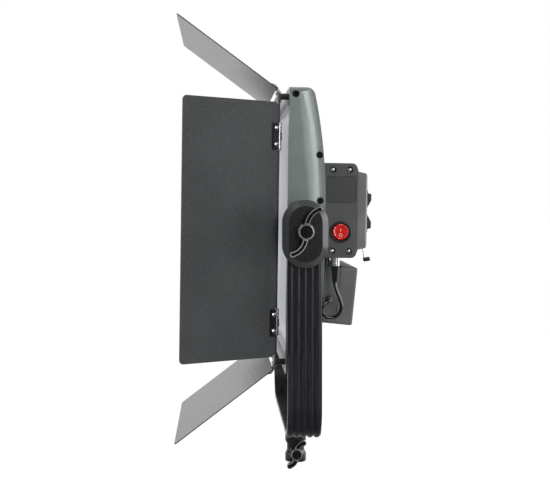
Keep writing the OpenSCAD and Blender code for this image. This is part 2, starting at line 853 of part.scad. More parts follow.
// Section of the rear cover: drafted long sides and rounded long edges
module rear_section() {
    y = rear_back - rear_r;
    rise = (y - box_back) * tan(rear_draft) + rear_r / cos(rear_draft);
    low = rise - rear_low;
    high = rear_high - rise;
    out_y = rear_r * sin(rear_draft);
    out_z = rear_r * cos(rear_draft);
    polygon([[box_back, -rear_low], [y + out_y, low - out_z], [rear_back, low],
        [rear_back, high], [y + out_y, high + out_z], [box_back, rear_high]]);
    for (z = [low, high])
        translate([y, z]) circle(r = rear_r);
}

// Rear cover: a shallow lid with sloping ends and rounded long edges
module rear_cover() {
    size = [2 * rear_x, rear_high + rear_low];
    mid = (rear_high - rear_low) / 2;
    edge = rear_x - rear_slope;
    color(SATIN) from_head() difference() {
        intersection() {
            translate([0, 0, -rear_low]) linear_extrude(size[1])
                polygon([[-rear_x, box_back], [-edge, rear_back - rear_bevel], [rear_bevel - edge, rear_back],
                    [edge - rear_bevel, rear_back], [edge, rear_back - rear_bevel], [rear_x, box_back]]);
            across(size[0]) rear_section();
        }
        translate([0, box_back + (rear_t - rear_wall) / 2 - 0.5, mid])
            cube([size[0] - 2 * rear_slope - 5, rear_t - rear_wall + 1, size[1] - 8], center = true);
        for (z = [upper_rocker_z, lower_rocker_z])
            translate([rocker_x, rear_back - 3, z])
                cube([body_w + 2 * seat, 2 * (body_deep - 3 + seat), body_h + 2 * seat], center = true);
        translate([release_x, release_y, release_z]) {
            translate([0, 0, 1]) cube([10, wire_d + 2 * turn, 4.2], center = true);
            translate([0, 0.8, -1.5]) cube([wire_d + 2 * turn, 3.8, 8], center = true);
        }
    }
}

module circuit_board() {
    board_y = head_back + circuit_gap;
    board_h = box_high + box_low - 2 * box_wall - 2 * seat;
    color("#2f6b45") from_head() {
        translate([-circuit_w / 2 - 5, board_y, -box_low + box_wall + seat]) cube([circuit_w, 1.6, board_h]);
        for (x = [-50, -20, 12])
            translate([x, board_y + 1.6, -6]) cube([16, 8, 22]);
        translate([40, board_y + 1.6, 14]) rotate([-90, 0, 0]) cylinder(d = 12, h = 14);
    }
}

// ---- switches ----

module power_switch_body() {
    color(BLACK) from_head() translate([0, power_y, power_z]) difference() {
        union() {
            shaft(power_d, box_w / 2, box_w / 2 + 2);
            shaft(power_hole_d - 2 * seat, box_w / 2 - 18, box_w / 2);
        }
        shaft(power_rocker_d + 2 * turn, box_w / 2 - 12, box_w / 2 + 3);
        translate([power_axle, 0, 0]) rotate([90, 0, 0])
            cylinder(d = 3 + 2 * fit, h = power_hole_d - 2 * turn, center = true);
    }
}

// Round rocker: the middle of a ball, so that it rocks inside its round well
module power_rocker() {
    color("#c8241c") from_head() translate([power_axle, power_y, power_z]) rotate([0, -power_swing / 2, 0]) {
        intersection() {
            sphere(d = power_rocker_d);
            cube([7, 30, 30], center = true);
        }
        rotate([90, 0, 0]) cylinder(d = 3, h = power_hole_d - 3 * turn, center = true);
    }
}

module rear_switch_bodies() {
    color(BLACK) from_head()
        for (z = [upper_rocker_z, lower_rocker_z])
            translate([rocker_x, rear_back - body_deep, z]) difference() {
                translate([-body_w / 2, 0, -body_h / 2]) cube([body_w, body_deep + 0.6, body_h]);
                translate([-rocker_w / 2 - turn, 1.5, -rocker_len / 2 - 1.3])
                    cube([rocker_w + 2 * turn, body_deep + 2, rocker_len + 2.6]);
                translate([0, rocker_axle - rear_back + body_deep, 0])
                    shaft(2.4 + 2 * fit, -rocker_w / 2 - 1.4, rocker_w / 2 + 1.4);
            }
}

// Rear rocker: two flats that meet in a ridge, tipped by half its swing.
// Way 1 raises its lower end, -1 its upper.
module rear_rocker(z, way) {
    end_h = ridge_h - tan(rocker_swing / 2) * rocker_len / 2;
    half = rocker_len / 2;
    color(BLACK) from_head() translate([rocker_x, rocker_axle, z]) rotate([way * rocker_swing / 2, 0, 0]) {
        across(rocker_w)
            polygon([[-1.5, -half], [end_h, -half], [ridge_h, 0], [end_h, half], [-1.5, half], [-2.6, 0]]);
        shaft(2.4, -rocker_w / 2 - 1.2, rocker_w / 2 + 1.2);
    }
}

// Places children at the release lever's hinge, at its lean
module at_release() {
    from_head() translate([release_x, release_y, release_z]) rotate([release_lean, 0, 0]) children();
}

// Release lever: a T of wire that comes down out of the rear cover
module release_lever() {
    color(STEEL) at_release() {
        translate([0, 0, -wire_len]) cylinder(d = wire_d, h = wire_len);
        shaft(wire_d, -4.5, 4.5);
    }
}

module release_tab() {
    color(BLACK) at_release() difference() {
        translate([-5, -1.4, -wire_len - 3.6]) cube([10, 7, 4.4]);
        translate([0, 0, -wire_len]) cylinder(d = wire_d + 2 * fit, h = 3);
    }
}

module dc_socket() {
    color(STEEL) from_head() translate([plug_x, plug_y, -box_low]) difference() {
        union() {
            translate([0, 0, -flange_low]) cylinder(d = ring_d + 3, h = flange_low);
            cylinder(d = ring_d, h = 6);
        }
        translate([0, 0, -flange_low - 1]) cylinder(d = 5, h = 7);
    }
}

module fuse_cap() {
    color(BLACK) from_head() translate([plug_x, plug_y - ring_d / 2 - 5.8, -box_low - 9]) difference() {
        cylinder(d = 8, h = 9);
        for (i = [0 : 11])
            rotate([0, 0, 30 * i]) translate([4, 0, 1]) cylinder(d = 1, h = 6, $fn = 16);
    }
}

// ---- adapter ----

// Places children, drawn about the adapter's middle, at its lean on the bowed back
module at_brick() {
    from_head() translate([0, brick_y, -brick_drop]) rotate([-brick_lean, 0, 0]) children();
}

module brick_form(inset) {
    size = [brick_w, brick_d, brick_h] - [2, 2, 2] * inset;
    r = brick_r;
    intersection() {
        across(size[0]) soft_square([size[1], size[2]], r);
        linear_extrude(size[2], center = true) soft_square([size[0], size[1]], r);
        rotate([90, 0, 0]) linear_extrude(size[1], center = true) soft_square([size[0], size[2]], r);
    }
}

module brick_half(back) {
    at_brick() difference() {
        intersection() {
            brick_form(0);
            translate([0, back * (brick_d / 2 + seat), 0])
                cube([2 * brick_w, brick_d, 2 * brick_h], center = true);
        }
        brick_form(brick_wall);
        translate([-brick_w / 2, 0, 0]) cube([8 * brick_wall, 20, 28], center = true);
    }
}

// The half with the inlet's seat also carries the tapered relief where the lead leaves
module brick_base() {
    color(ABS) {
        brick_half(-1);
        from_head() translate([0, LEAD[0][1], LEAD[0][2]])
            difference() {
                translate([brick_w / 2 - 1, 0, 0]) rotate([0, 90, 0])
                    cylinder(d1 = 8, d2 = lead_d + 1.4, h = LEAD[0][0] - brick_w / 2 + 1);
            }
    }
}

module brick_lid() {
    color(ABS) brick_half(1);
}

// Cradle: a plate in front of the adapter with lips over and under it, on four feet against the back
module brick_cradle() {
    front = brick_d / 2 + seat + cradle_t;
    edge = brick_h / 2 + seat;
    color(BLACK) difference() {
        at_brick() {
            translate([-cradle_w / 2, -front, -edge - cradle_t - 2.5])
                cube([cradle_w, cradle_t, 2 * (edge + cradle_t) + 2.5]);
            for (x = [-cradle_w / 2 + 10, cradle_w / 2 - 10 - lip_len])
                for (z = [-edge - cradle_t, edge])
                    translate([x, -front, z]) cube([lip_len, lip_deep, cradle_t]);
            for (x = [-foot_x, foot_x])
                for (z = [-foot_z, foot_z])
                    translate([x, 1 - front, z]) rotate([90, 0, 0]) cylinder(d = foot_d, h = 9);
        }
        from_head() head_bar(2 * head_w, -seat);
    }
}

// Mains inlet of the usual three-pin shape, in the adapter's right end
module ac_inlet() {
    color(BLACK) at_brick() translate([-brick_w / 2, 0, 0]) difference() {
        translate([0, -9.9, -13.9]) cube([17, 19.8, 27.8]);
        translate([7, 0, 0]) across(16)
            polygon([[-8, -12], [4, -12], [8, -8], [8, 8], [4, 12], [-8, 12]]);
    }
    color(STEEL) at_brick() translate([-brick_w / 2, 0, 0])
        for (p = [[3, 0], [-1, -7], [-1, 7]])
            translate([6, p[0] - 1, p[1] - 2]) cube([9.1, 2, 4]);
}

// Functions that sweep a round tube along a route
function unit(v) = v / norm(v);
function heading(path, i) = unit(path[min(i + 1, len(path) - 1)] - path[max(i - 1, 0)]);
function side_of(path, i, start) =
    i == 0 ? start
    : let (before = side_of(path, i - 1, start), d = heading(path, i)) unit(before - (before * d) * d);
function ring(path, i, start, r, sides) =
    let (d = heading(path, i), u = side_of(path, i, start), v = cross(d, u))
    [for (k = [0 : sides - 1]) path[i] + r * (cos(360 * k / sides) * u + sin(360 * k / sides) * v)];

module tube(path, r, sides, start) {
    last = len(path) - 1;
    points = [for (i = [0 : last]) each ring(path, i, start, r, sides)];
    walls = [for (i = [0 : last - 1]) for (k = [0 : sides - 1])
        let (a = i * sides + k, b = i * sides + (k + 1) % sides)
        each [[a, a + sides, b + sides], [a, b + sides, b]]];
    ends = [[for (k = [0 : sides - 1]) k], [for (k = [sides - 1 : -1 : 0]) last * sides + k]];
    polyhedron(points, concat(walls, ends));
}

module dc_lead() {
    color(BLACK) from_head() tube(LEAD, lead_d / 2, 8, [0, 1, 0]);
}

module plug_boot() {
    low = LEAD[len(LEAD) - 1][2];
    color(BLACK) from_head() translate([plug_x, plug_y, 0]) {
        translate([0, 0, low]) cylinder(d1 = lead_d + 2, d2 = ring_d, h = boot_top - low);
        translate([0, 0, boot_top]) cylinder(d = 6, h = ring_len - 0.5);
    }
}

module plug_ring() {
    color(STEEL) from_head() translate([plug_x, plug_y, boot_top]) difference() {
        cylinder(d = ring_d + 0.6, h = ring_len);
        translate([0, 0, -1]) cylinder(d = 6 + 2 * fit, h = ring_len + 2);
        for (i = [0 : 17])
            rotate([0, 0, 20 * i]) translate([ring_d / 2 + 0.5, 0, 1.2])
                cylinder(d = 0.7, h = ring_len - 3, $fn = 16);
    }
}

// ---- barn doors ----

module barn_frame() {
    color(BLACK) from_head() translate([0, frame_t - frame_front, doors_lift]) rotate([90, 0, 0])
        linear_extrude(frame_t) difference() {
            soft_square([2 * frame_x, 2 * frame_z], 3);
            soft_square([2 * (frame_x - member_w), 2 * (frame_z - member_w)], 3);
        }
}

module frame_posts() {
    color(BLACK) from_head()
        for (x = [-1, 1])
            for (z = [-1, 1])
                translate([x * post_x, -head_front, z * post_z + doors_lift]) rotate([90, 0, 0])
                    cylinder(d = post_d, h = frame_front - frame_t - head_front);
}

// Places children at a hinge axis. There x points inwards over the frame, y along the axis and z forwards.
module at_hinge(side) {
    from_head() translate([0, -hinge_y, doors_lift]) {
        if (side == "top") translate([0, 0, hinge_z]) rotate([90, 90, 0]) children();
        if (side == "bottom") translate([0, 0, -hinge_z]) rotate([90, -90, 0]) children();
        if (side == "left") translate([hinge_x, 0, 0]) rotate([90, 180, 0]) children();
        if (side == "right") translate([-hinge_x, 0, 0]) rotate([90, 0, 0]) children();
    }
}

function flare_of(side) = side == "top" ? top_flare : side == "bottom" ? bottom_flare : side_flare;

// The same, turned with an open leaf
module at_leaf(side) {
    at_hinge(side) rotate([0, -90 - flare_of(side), 0]) children();
}

function pair_of(side) = side == "top" || side == "bottom" ? tall_hinge_at : side_hinge_at;

// Places children at the two hinges of a leaf
module at_pair(side) {
    for (s = [-1, 1])
        translate([0, s * pair_of(side), 0]) children();
}

// Length of knuckle k of three, less its running gap
knuckle_len = hinge_len / 3 - turn / 2;

module knuckle(k) {
    translate([0, (k - 1) * (hinge_len / 3 + turn / 2), 0]) rotate([90, 0, 0])
        cylinder(r = knuckle_r, h = knuckle_len, center = true);
}

module pin_bore() {
    rotate([90, 0, 0]) cylinder(d = pin_d + 2 * fit, h = 2 * hinge_len, center = true);
}

// Fixed half: a plate behind the frame with two outer knuckles
module fixed_hinge() {
    back = hinge_y - frame_front + frame_t;
    difference() {
        union() {
            translate([3, -hinge_len / 2, -back - plate_t]) cube([plate_len - 2.5, hinge_len, plate_t]);
            for (k = [0, 2]) {
                low = (k - 1) * (hinge_len / 3 + turn / 2) - knuckle_len / 2;
                knuckle(k);
                translate([-0.6, low + 0.2, -back - plate_t]) {
                    cube([3.8, knuckle_len - 0.4, plate_t]);
                    cube([2.6, knuckle_len - 0.4, back + plate_t - 1.2]);
                }
            }
        }
        pin_bore();
    }
}

module frame_hinges() {
    color(BLACK)
        for (side = ["top", "bottom", "left", "right"])
            at_hinge(side) at_pair(side) fixed_hinge();
}

module hinge_pins() {
    color(STEEL)
        for (side = ["top", "bottom", "left", "right"])
            at_hinge(side) at_pair(side) rotate([90, 0, 0]) cylinder(d = pin_d, h = hinge_len + 1, center = true);
}

module leaf(side, reach, width, low) {
    color(SATIN) at_leaf(side) translate([(leaf_start + reach) / 2, 0, low])
        linear_extrude(leaf_t) difference() {
            soft_square([reach - leaf_start, width], leaf_r);
            for (s = [-1, 1])
                for (t = [-1, 1])
                    translate([plate_len - 4 - (leaf_start + reach) / 2, s * pair_of(side) + t * 0.3 * hinge_len])
                        circle(d = screw_d + 2 * fit);
        }
}

// Moving half: a plate on the leaf's outer face with the middle knuckle
module leaf_hinge(low) {
    top = low + leaf_t;
    difference() {
        union() {
            translate([leaf_start - 0.4, -hinge_len / 2, top])
                cube([plate_len - leaf_start + 0.4, hinge_len, plate_t]);
            translate([-1, 0.2 - knuckle_len / 2, tall_low])
                cube([leaf_start + 0.8, knuckle_len - 0.4, top + plate_t - tall_low]);
            knuckle(1);
        }
        pin_bore();
        for (t = [-1, 1])
            translate([plate_len - 4, t * 0.3 * hinge_len, top - 1])
                cylinder(d = screw_d + 2 * fit, h = plate_t + 2);
    }
}

module leaf_hinges(side, low) {
    color(BLACK) at_leaf(side) at_pair(side) leaf_hinge(low);
}

module leaf_screws(side, low) {
    color(STEEL) at_leaf(side) at_pair(side)
        for (t = [-1, 1])
            translate([plate_len - 4, t * 0.3 * hinge_len, low + leaf_t + plate_t])
                pan_screw(leaf_t + plate_t);
}

// ---- nodes ----

yoke();
pivot_cover(1);  // left_pivot_cover
pivot_cover(-1);  // right_pivot_cover
stand_receiver();
yoke_bolt();
tilt_lever(1);  // left_tilt_lever
tilt_stud(1);  // left_tilt_stud
tilt_lever(-1);  // right_tilt_lever
tilt_stud(-1);  // right_tilt_stud
stand_lever();
stand_lever_screw();
rear_shell();
end_cap(1);  // left_end_cap
end_cap(-1);  // right_end_cap
screw_plugs();
pivot_inserts();
friction_washers();
front_bezel();
diffuser();
led_board();
leds();
heat_spreader();
control_box();
side_cover(1);  // left_side_cover
side_cover(-1);  // right_side_cover
side_cover_screws();
rear_cover();
circuit_board();
power_switch_body();
power_rocker();
rear_switch_bodies();
rear_rocker(upper_rocker_z, -1);  // upper_rear_rocker
rear_rocker(lower_rocker_z, 1);  // lower_rear_rocker
release_lever();
release_tab();
dc_socket();
fuse_cap();
brick_base();
brick_lid();
brick_cradle();
ac_inlet();
dc_lead();
plug_boot();
plug_ring();
barn_frame();
frame_posts();
frame_hinges();
hinge_pins();
leaf("top", tall_leaf, tall_leaf_w, tall_low);  // top_leaf
leaf("bottom", tall_leaf, tall_leaf_w, tall_low);  // bottom_leaf
leaf("left", side_leaf, side_leaf_w, side_low);  // left_leaf
leaf("right", side_leaf, side_leaf_w, side_low);  // right_leaf
leaf_hinges("top", tall_low);  // top_leaf_hinges
leaf_hinges("bottom", tall_low);  // bottom_leaf_hinges
leaf_hinges("left", side_low);  // left_leaf_hinges
leaf_hinges("right", side_low);  // right_leaf_hinges
leaf_screws("top", tall_low);  // top_leaf_screws
leaf_screws("bottom", tall_low);  // bottom_leaf_screws
leaf_screws("left", side_low);  // left_leaf_screws
leaf_screws("right", side_low);  // right_leaf_screws
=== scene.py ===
import json
import math

import bpy
from mathutils import Matrix, Vector


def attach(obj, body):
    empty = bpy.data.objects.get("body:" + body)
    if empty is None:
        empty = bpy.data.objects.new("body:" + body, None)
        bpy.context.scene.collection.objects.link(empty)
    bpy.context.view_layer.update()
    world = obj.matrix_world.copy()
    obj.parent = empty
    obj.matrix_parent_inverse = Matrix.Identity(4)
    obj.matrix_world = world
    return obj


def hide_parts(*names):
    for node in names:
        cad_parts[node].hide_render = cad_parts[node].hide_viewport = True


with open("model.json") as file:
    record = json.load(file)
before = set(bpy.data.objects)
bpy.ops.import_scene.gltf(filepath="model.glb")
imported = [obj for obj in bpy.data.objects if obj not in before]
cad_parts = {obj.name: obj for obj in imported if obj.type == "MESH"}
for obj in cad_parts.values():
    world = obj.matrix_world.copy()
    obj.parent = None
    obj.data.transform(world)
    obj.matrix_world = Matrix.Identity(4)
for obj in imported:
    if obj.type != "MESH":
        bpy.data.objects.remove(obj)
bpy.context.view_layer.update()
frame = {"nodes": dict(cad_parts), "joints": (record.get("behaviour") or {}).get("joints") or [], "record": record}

bl_info = {
    "name": "LED Panel Light",
    "version": (1, 0, 0),
    "blender": (4, 5, 0),
    "location": "View3D > Sidebar > Panel Light",
    "description": "Dresses an LED panel light with barn doors, a yoke and a mains adapter",
    "category": "Add Mesh",
}

MM = 0.001

# The middle of the tilt axis, and how far the head leans back at rest, in degrees.
PIVOT = Vector((0, 0, 0.280))
LEAN = -0.85
HEAD = Matrix.Translation(PIVOT) @ Matrix.Rotation(math.radians(LEAN), 4, "X")

# Each door's hinge, by the door's body: a point on its pin, and the way the pin runs.
HINGES = {joint["child"]: (Vector(joint["pos_m"]), Vector(joint["axis"]).normalized())
          for joint in frame["joints"] if joint["child"].endswith("_door")}
SIDES = ("left", "right")
DOORS = ("top", "bottom") + SIDES

# A noise pattern keeps mostly to the middle of its range, so colours and roughness run over that part.
MIDDLE = {"From Min": 0.3, "From Max": 0.7}
# Size of the soft clouds of colour in a moulded or coated surface, in millimetres.
CLOUD_MM = 45
# Lines to a metre: the draw lines of an extrusion, about 1.1 mm apart, and the rolling lines of plate, about
# 1.4 mm apart. Real ones are finer; these are drawn as coarse as they need to show.
DRAW_LINES = 900.0
ROLLING_LINES = 700.0
# Spacing of a circuit board's traces, in millimetres, and the radians in a turn.
TRACE_MM = 2.5
TURN = 6.28

# Before its edges are rounded, a solid is merged within this distance and flattened within this angle.
MERGE_MM = 0.002
FLAT_DEGREES = 0.6
# Radius of a hinge's knuckles, with a little room, in millimetres.
KNUCKLE_MM = 2.6
# How far along X the normal of a sloping face reaches, at least and at most.
SLOPES = (0.25, 0.97)

# Light from the world on matt surfaces, and in reflections from behind the object and from in front of it.
SOFT_LIGHT = 0.3
LIT = 1.0
DIM = 0.04
# Where reflections turn from lit to dim, along X: a direction for the world, and metres for the floor.
WORLD_TURN = (-0.3, 0.3)
FLOOR_TURN = (-0.6, 0.1)
# The floor's width in metres, its glow to the camera, and the share of that glow where the camera or a
# reflection sees it.
FLOOR_WIDTH = 40
FLOOR_GLOW = 1.06
GLOW_SHARE = 0.95
# The soft lamps: name, place, width in metres and power in watts.
LAMPS = (
    ("key", (1.75, 0.92, 0.75), 1.1, 19.0),
    ("rim", (-0.3, 1.95, 0.65), 1.2, 24.0),
    ("fill", (0.6, -1.8, 0.5), 1.0, 11.0),
    ("top", (0.75, -0.95, 1.5), 1.3, 13.0),
)

# Route of the low-voltage lead, in millimetres from the tilt axis: across, back and up.
LEAD = [
    (99, 34, -78), (101, 33.8, -78), (104, 32.6, -78.6), (106.4, 30.2, -80), (107.7, 27, -82.2),
    (108, 24.6, -85.6), (107.4, 24, -89.6), (106.4, 25.6, -93.4), (105.4, 29, -96.2), (104.7, 33.2, -97.6),
    (104.3, 37.6, -97.4), (104, 41.6, -95.4), (104, 44.6, -92), (104, 46.2, -87.8), (104, 46.4, -83.2),
    (104, 45.4, -78.6), (104, 43.6, -73.8), (104, 41.6, -69), (104, 39.8, -64), (104, 38.6, -59.5),
    (104, 38.6, -57),
]

# The bare film in the left side cover's label recess, in millimetres: its middle, its size and its edges.
FILM_AT = (117.4, 42.85, 45.7)
FILM_SIZE = (0.3, 31.7, 28)
FILM_EDGE = 0.12

# The power rocker, in millimetres: its middle, then the radius of its ball, half its thickness, its flat lip,
# the slope inside the lip, the depth of its dish, and its edges. It leans this many degrees.
ROCKER_AT = (116, 42.8, -1.2)
ROCKER_LEAN = -8
ROCKER_RADIUS = 9.2
ROCKER_HALF = 3.5
ROCKER_LIP = 0.9
ROCKER_SLOPE = 1.2
ROCKER_DISH = 0.35
ROCKER_EDGE = 0.3
# Its marks, in millimetres from its middle: how far out they stand, how high the bar and how low the ring
# lies, the bar's depth, width and edges, and the radius of the ring's wire.
MARK_OUT = 3.2
BAR_UP = 1.9
RING_DOWN = 4.0
BAR_DEPTH = 0.3
BAR_WIDTH = 0.6
BAR_EDGE = 0.1
RING_WIRE = 0.28

# The rolled edge along a door's hinge, in millimetres: how far out from the pin it lies, its radius, how far
# its middle sinks below the hinge's top, its edges, and how much shorter than the hinge it is.
ROLL_OUT = 2.6
ROLL_RADIUS = 1.1
ROLL_SINK = 0.4
ROLL_EDGE = 0.4
ROLL_SHORT = 1

# Finish of the solids that differ from their slot, and then of each slot, by the names in finishes().
NODE_LOOKS = {
    "yoke": "anodised", "stand_receiver": "anodised", "brick_base": "etched", "brick_lid": "etched",
    "rear_cover": "lid_coat", "front_bezel": "silver", "screw_plugs": "blanks",
}
SLOT_LOOKS = {
    "black_paint": "coated", "leaf_paint": "satin_sheet", "housing_paint": "lacquer",
    "black_plastic": "nylon", "case_plastic": "charcoal", "steel": "zinc", "chrome": "nickel",
    "aluminium": "plate", "diffuser": "opal", "board_white": "white_board", "led": "phosphor",
    "board_green": "green_board", "red_plastic": "red", "friction": "fibre", "cable_rubber": "cable",
}
# Every finish by its name, once main() has made them.
LOOKS = {}


# ---- small helpers ----


def linear(text):
    """An sRGB hex colour as linear light."""
    parts = [int(text[i:i + 2], 16) / 255 for i in (1, 3, 5)]
    return tuple(c / 12.92 if c <= 0.04045 else ((c + 0.055) / 1.055) ** 2.4 for c in parts) + (1.0,)


def per_mm(size_mm):
    """The scale of a noise whose grains have a size in millimetres."""
    return 1 / (size_mm * MM)


def add(tree, kind, inputs=None, colours=(), **settings):
    """Adds a node: its settings, its inputs from values or other outputs, and its ramp's hex colours."""
    made = tree.nodes.new(kind)
    for name, value in settings.items():
        setattr(made, name, value)
    for name, value in (inputs or {}).items():
        if isinstance(value, bpy.types.NodeSocket):
            tree.links.new(value, made.inputs[name])
        else:
            made.inputs[name].default_value = value
    if colours:
        for stop, position, colour in zip(made.color_ramp.elements, MIDDLE.values(), colours):
            stop.position = position
            stop.color = linear(colour)
    return made


def new_material(name):
    """An empty node material and its tree."""
    material = bpy.data.materials.new(name)
    material.use_nodes = True
    material.node_tree.nodes.clear()
    return material, material.node_tree


def finished(tree, **inputs):
    """Closes a material with a Principled shader; underscores in the names stand for spaces."""
    shader = add(tree, "ShaderNodeBsdfPrincipled", {k.replace("_", " "): v for k, v in inputs.items()})
    add(tree, "ShaderNodeOutputMaterial", {"Surface": shader.outputs["BSDF"]})


def backdrop(tree, way, near, far):
    """The room that reflections see, along X: lit behind the object, dim in front of it."""
    across = add(tree, "ShaderNodeSeparateXYZ", {"Vector": way}).outputs["X"]
    return add(tree, "ShaderNodeMapRange", {"Value": across, "From Min": near, "From Max": far, "To Min": LIT,
                                            "To Max": DIM}).outputs["Result"]


def grained(name, first, second, rough, size_mm, depth_mm, detail=2.0, cloud_mm=CLOUD_MM, strength=0.6,
            **more):
    """A finish with clouds of two near colours, and a fine grain that gives a bump and a roughness range."""
    material, tree = new_material(name)
    place = add(tree, "ShaderNodeTexCoord").outputs["Object"]
    speck = add(tree, "ShaderNodeTexNoise", {"Vector": place, "Scale": per_mm(size_mm), "Detail": detail})
    cloud = add(tree, "ShaderNodeTexNoise", {"Vector": place, "Scale": per_mm(cloud_mm), "Detail": 3.0})
    tint = add(tree, "ShaderNodeValToRGB", {"Fac": cloud.outputs["Fac"]}, colours=(first, second))
    gloss = add(tree, "ShaderNodeMapRange", {**MIDDLE, "Value": speck.outputs["Fac"], "To Min": rough[0],
                                             "To Max": rough[1]})
    bump = add(tree, "ShaderNodeBump", {"Height": speck.outputs["Fac"], "Distance": depth_mm * MM,
                                        "Strength": strength})
    finished(tree, Base_Color=tint.outputs["Color"], Roughness=gloss.outputs["Result"],
             Normal=bump.outputs["Normal"], **more)
    return material


def moulded(name, light, dark, rough, size_mm, depth_mm, **more):
    """A surface whose fine grain comes from its mould or coat, a little rougher and smoother by turns."""
    return grained(name, dark, light, (rough - 0.05, rough + 0.05), size_mm, depth_mm, **more)


def clouded(name, first, second, size_mm, detail=2.0, rough=None, **more):
    """A finish with no bump, clouded between two colours and, where a range is given, two roughnesses."""
    material, tree = new_material(name)
    place = add(tree, "ShaderNodeTexCoord").outputs["Object"]
    cloud = add(tree, "ShaderNodeTexNoise", {"Vector": place, "Scale": per_mm(size_mm), "Detail": detail})
    tint = add(tree, "ShaderNodeValToRGB", {"Fac": cloud.outputs["Fac"]}, colours=(first, second))
    if rough:
        gloss = add(tree, "ShaderNodeMapRange", {**MIDDLE, "Value": cloud.outputs["Fac"], "To Min": rough[0],
                                                 "To Max": rough[1]})
        more["Roughness"] = gloss.outputs["Result"]
    finished(tree, Base_Color=tint.outputs["Color"], **more)
    return material


def lined(name, first, second, rough, stretch, lines, detail, peel_mm=None, depth_mm=0.01, **more):
    """A metal with fine lines along the ways that it is stretched, and a bump where its peel has a size."""
    material, tree = new_material(name)
    place = add(tree, "ShaderNodeTexCoord").outputs["Object"]
    turned = add(tree, "ShaderNodeMapping", {"Vector": place, "Scale": stretch})
    line = add(tree, "ShaderNodeTexNoise", {"Vector": turned.outputs["Vector"], "Scale": lines,
                                            "Detail": detail})
    tint = add(tree, "ShaderNodeValToRGB", {"Fac": line.outputs["Fac"]}, colours=(first, second))
    gloss = add(tree, "ShaderNodeMapRange", {**MIDDLE, "Value": line.outputs["Fac"], "To Min": rough[0],
                                             "To Max": rough[1]})
    if peel_mm:
        speck = add(tree, "ShaderNodeTexNoise", {"Vector": place, "Scale": per_mm(peel_mm), "Detail": 2.0})
        bump = add(tree, "ShaderNodeBump", {"Height": speck.outputs["Fac"], "Distance": depth_mm * MM,
                                            "Strength": 0.3})
        more["Normal"] = bump.outputs["Normal"]
    finished(tree, Base_Color=tint.outputs["Color"], Roughness=gloss.outputs["Result"], **more)
    return material


# ---- materials ----


def door_coat(colours):
    # Polyester powder coat on aluminium sheet, sprayed and baked: satin, with a fine orange peel.
    # Real peel is about 0.4 mm; it is drawn at 1.4 mm so that it shows.
    return moulded("powder coat, satin black sheet", colours.door, "#393b3c", 0.28, 1.4, 0.01,
                   Specular_IOR_Level=0.45)


def frame_coat(colours):
    # The same powder coat on steel strip and bar: darker, rougher and with a deeper peel.
    return moulded("powder coat, black steel", colours.fittings, "#1f2022", 0.42, 1.4, 0.03)


def housing_paint(colours):
    # Metallic lacquer on die-cast and extruded aluminium: fine flake under a satin clear coat.
    return grained("metallic lacquer, grey-green aluminium", colours.housing, "#7a8280", (0.34, 0.42), 0.9,
                   0.01, detail=1.0, cloud_mm=60, strength=0.5, Metallic=0.5, Coat_Weight=0.4,
                   Coat_Roughness=0.25)


def yoke_anodising(colours):
    # Black anodised extrusion: faint draw lines run along the bar, the way it was drawn.
    return lined("anodised extrusion, black aluminium", "#2f3033", colours.yoke, (0.26, 0.34),
                 (0.05, 1.0, 0.05), DRAW_LINES, 2.0, peel_mm=1.2, Metallic=0.6)


def cover_plastic(colours):
    # Glass-filled nylon, spark-eroded mould: satin black that scuffs a little paler.
    return moulded("glass-filled nylon, satin black", colours.cover, "#0e0e0f", 0.3, 1.2, 0.015)


def cover_rim_highlight():
    # The same nylon on the sloping rim, painted greyer as a painted highlight, and a little rougher.
    return moulded("glass-filled nylon, scuffed rim", "#434445", "#353637", 0.34, 1.2, 0.01)


def lever_plastic(colours):
    # Phenolic lever, moulded and polished by hands: deep black with a soft gloss.
    return moulded("phenolic, glossy black", colours.lever, "#080808", 0.16, 2.5, 0.006, Coat_Weight=1.0,
                   Coat_Roughness=0.06)


def lever_edge_highlight():
    # The same phenolic on its sloping edges, painted paler as a painted highlight, and nearly mirror-smooth.
    return moulded("phenolic, highlighted edge", "#a0a1a2", "#6c6d6e", 0.16, 2.5, 0.004, Coat_Weight=1.0,
                   Coat_Roughness=0.06)


def hinge_enamel():
    # Baked enamel on the hinge plates: thin, smooth and blacker than the powder coat beside it.
    return moulded("baked enamel, black", "#111112", "#0b0b0c", 0.42, 2.0, 0.005, Specular_IOR_Level=0.3)


def case_plastic(colours):
    # ABS from a fine-textured mould: charcoal, matt, with 1 mm grain.
    return moulded("textured ABS, charcoal", colours.case, "#3d3e3e", 0.52, 1.1, 0.05)


def lid_paint(colours):
    # Painted aluminium lid: charcoal with a little metal in it, so that its slopes catch the light; its grey,
    # lighter than the case's, is painted light on its slopes.
    return moulded("painted aluminium, charcoal", colours.lid, "#5c5d5d", 0.4, 1.1, 0.03, Metallic=0.35)


def bare_label(colours):
    # Polyester label film with no print on it: smooth, a little darker than the textured case round it.
    return moulded("polyester film, bare", colours.film, "#2e2f30", 0.38, 3.0, 0.005)


def plug_rubber():
    # Moulded rubber blanks over the end cap screws: nearly black, matt.
    return moulded("moulded rubber, black", "#0d0d0e", "#070708", 0.6, 1.2, 0.02, Specular_IOR_Level=0.2)


def bezel_metal(colours):
    # Bright silver lacquer on the front bezel: fine, even, slightly cool.
    return moulded("silver lacquer, bezel", colours.bezel, "#c8c9cf", 0.5, 1.5, 0.003, Metallic=0.1)


def adapter_plastic(colours):
    # Polycarbonate adapter case, finely etched all over.
    return moulded("etched polycarbonate, dark grey", colours.adapter, "#565757", 0.45, 1.3, 0.03)


def bright_zinc():
    # Zinc-plated steel, tumbled: bright, slightly clouded.
    return clouded("zinc plate, bright steel", "#b9bcc0", "#dcdee0", 2.0, 3.0, rough=(0.2, 0.32),
                   Metallic=1.0)


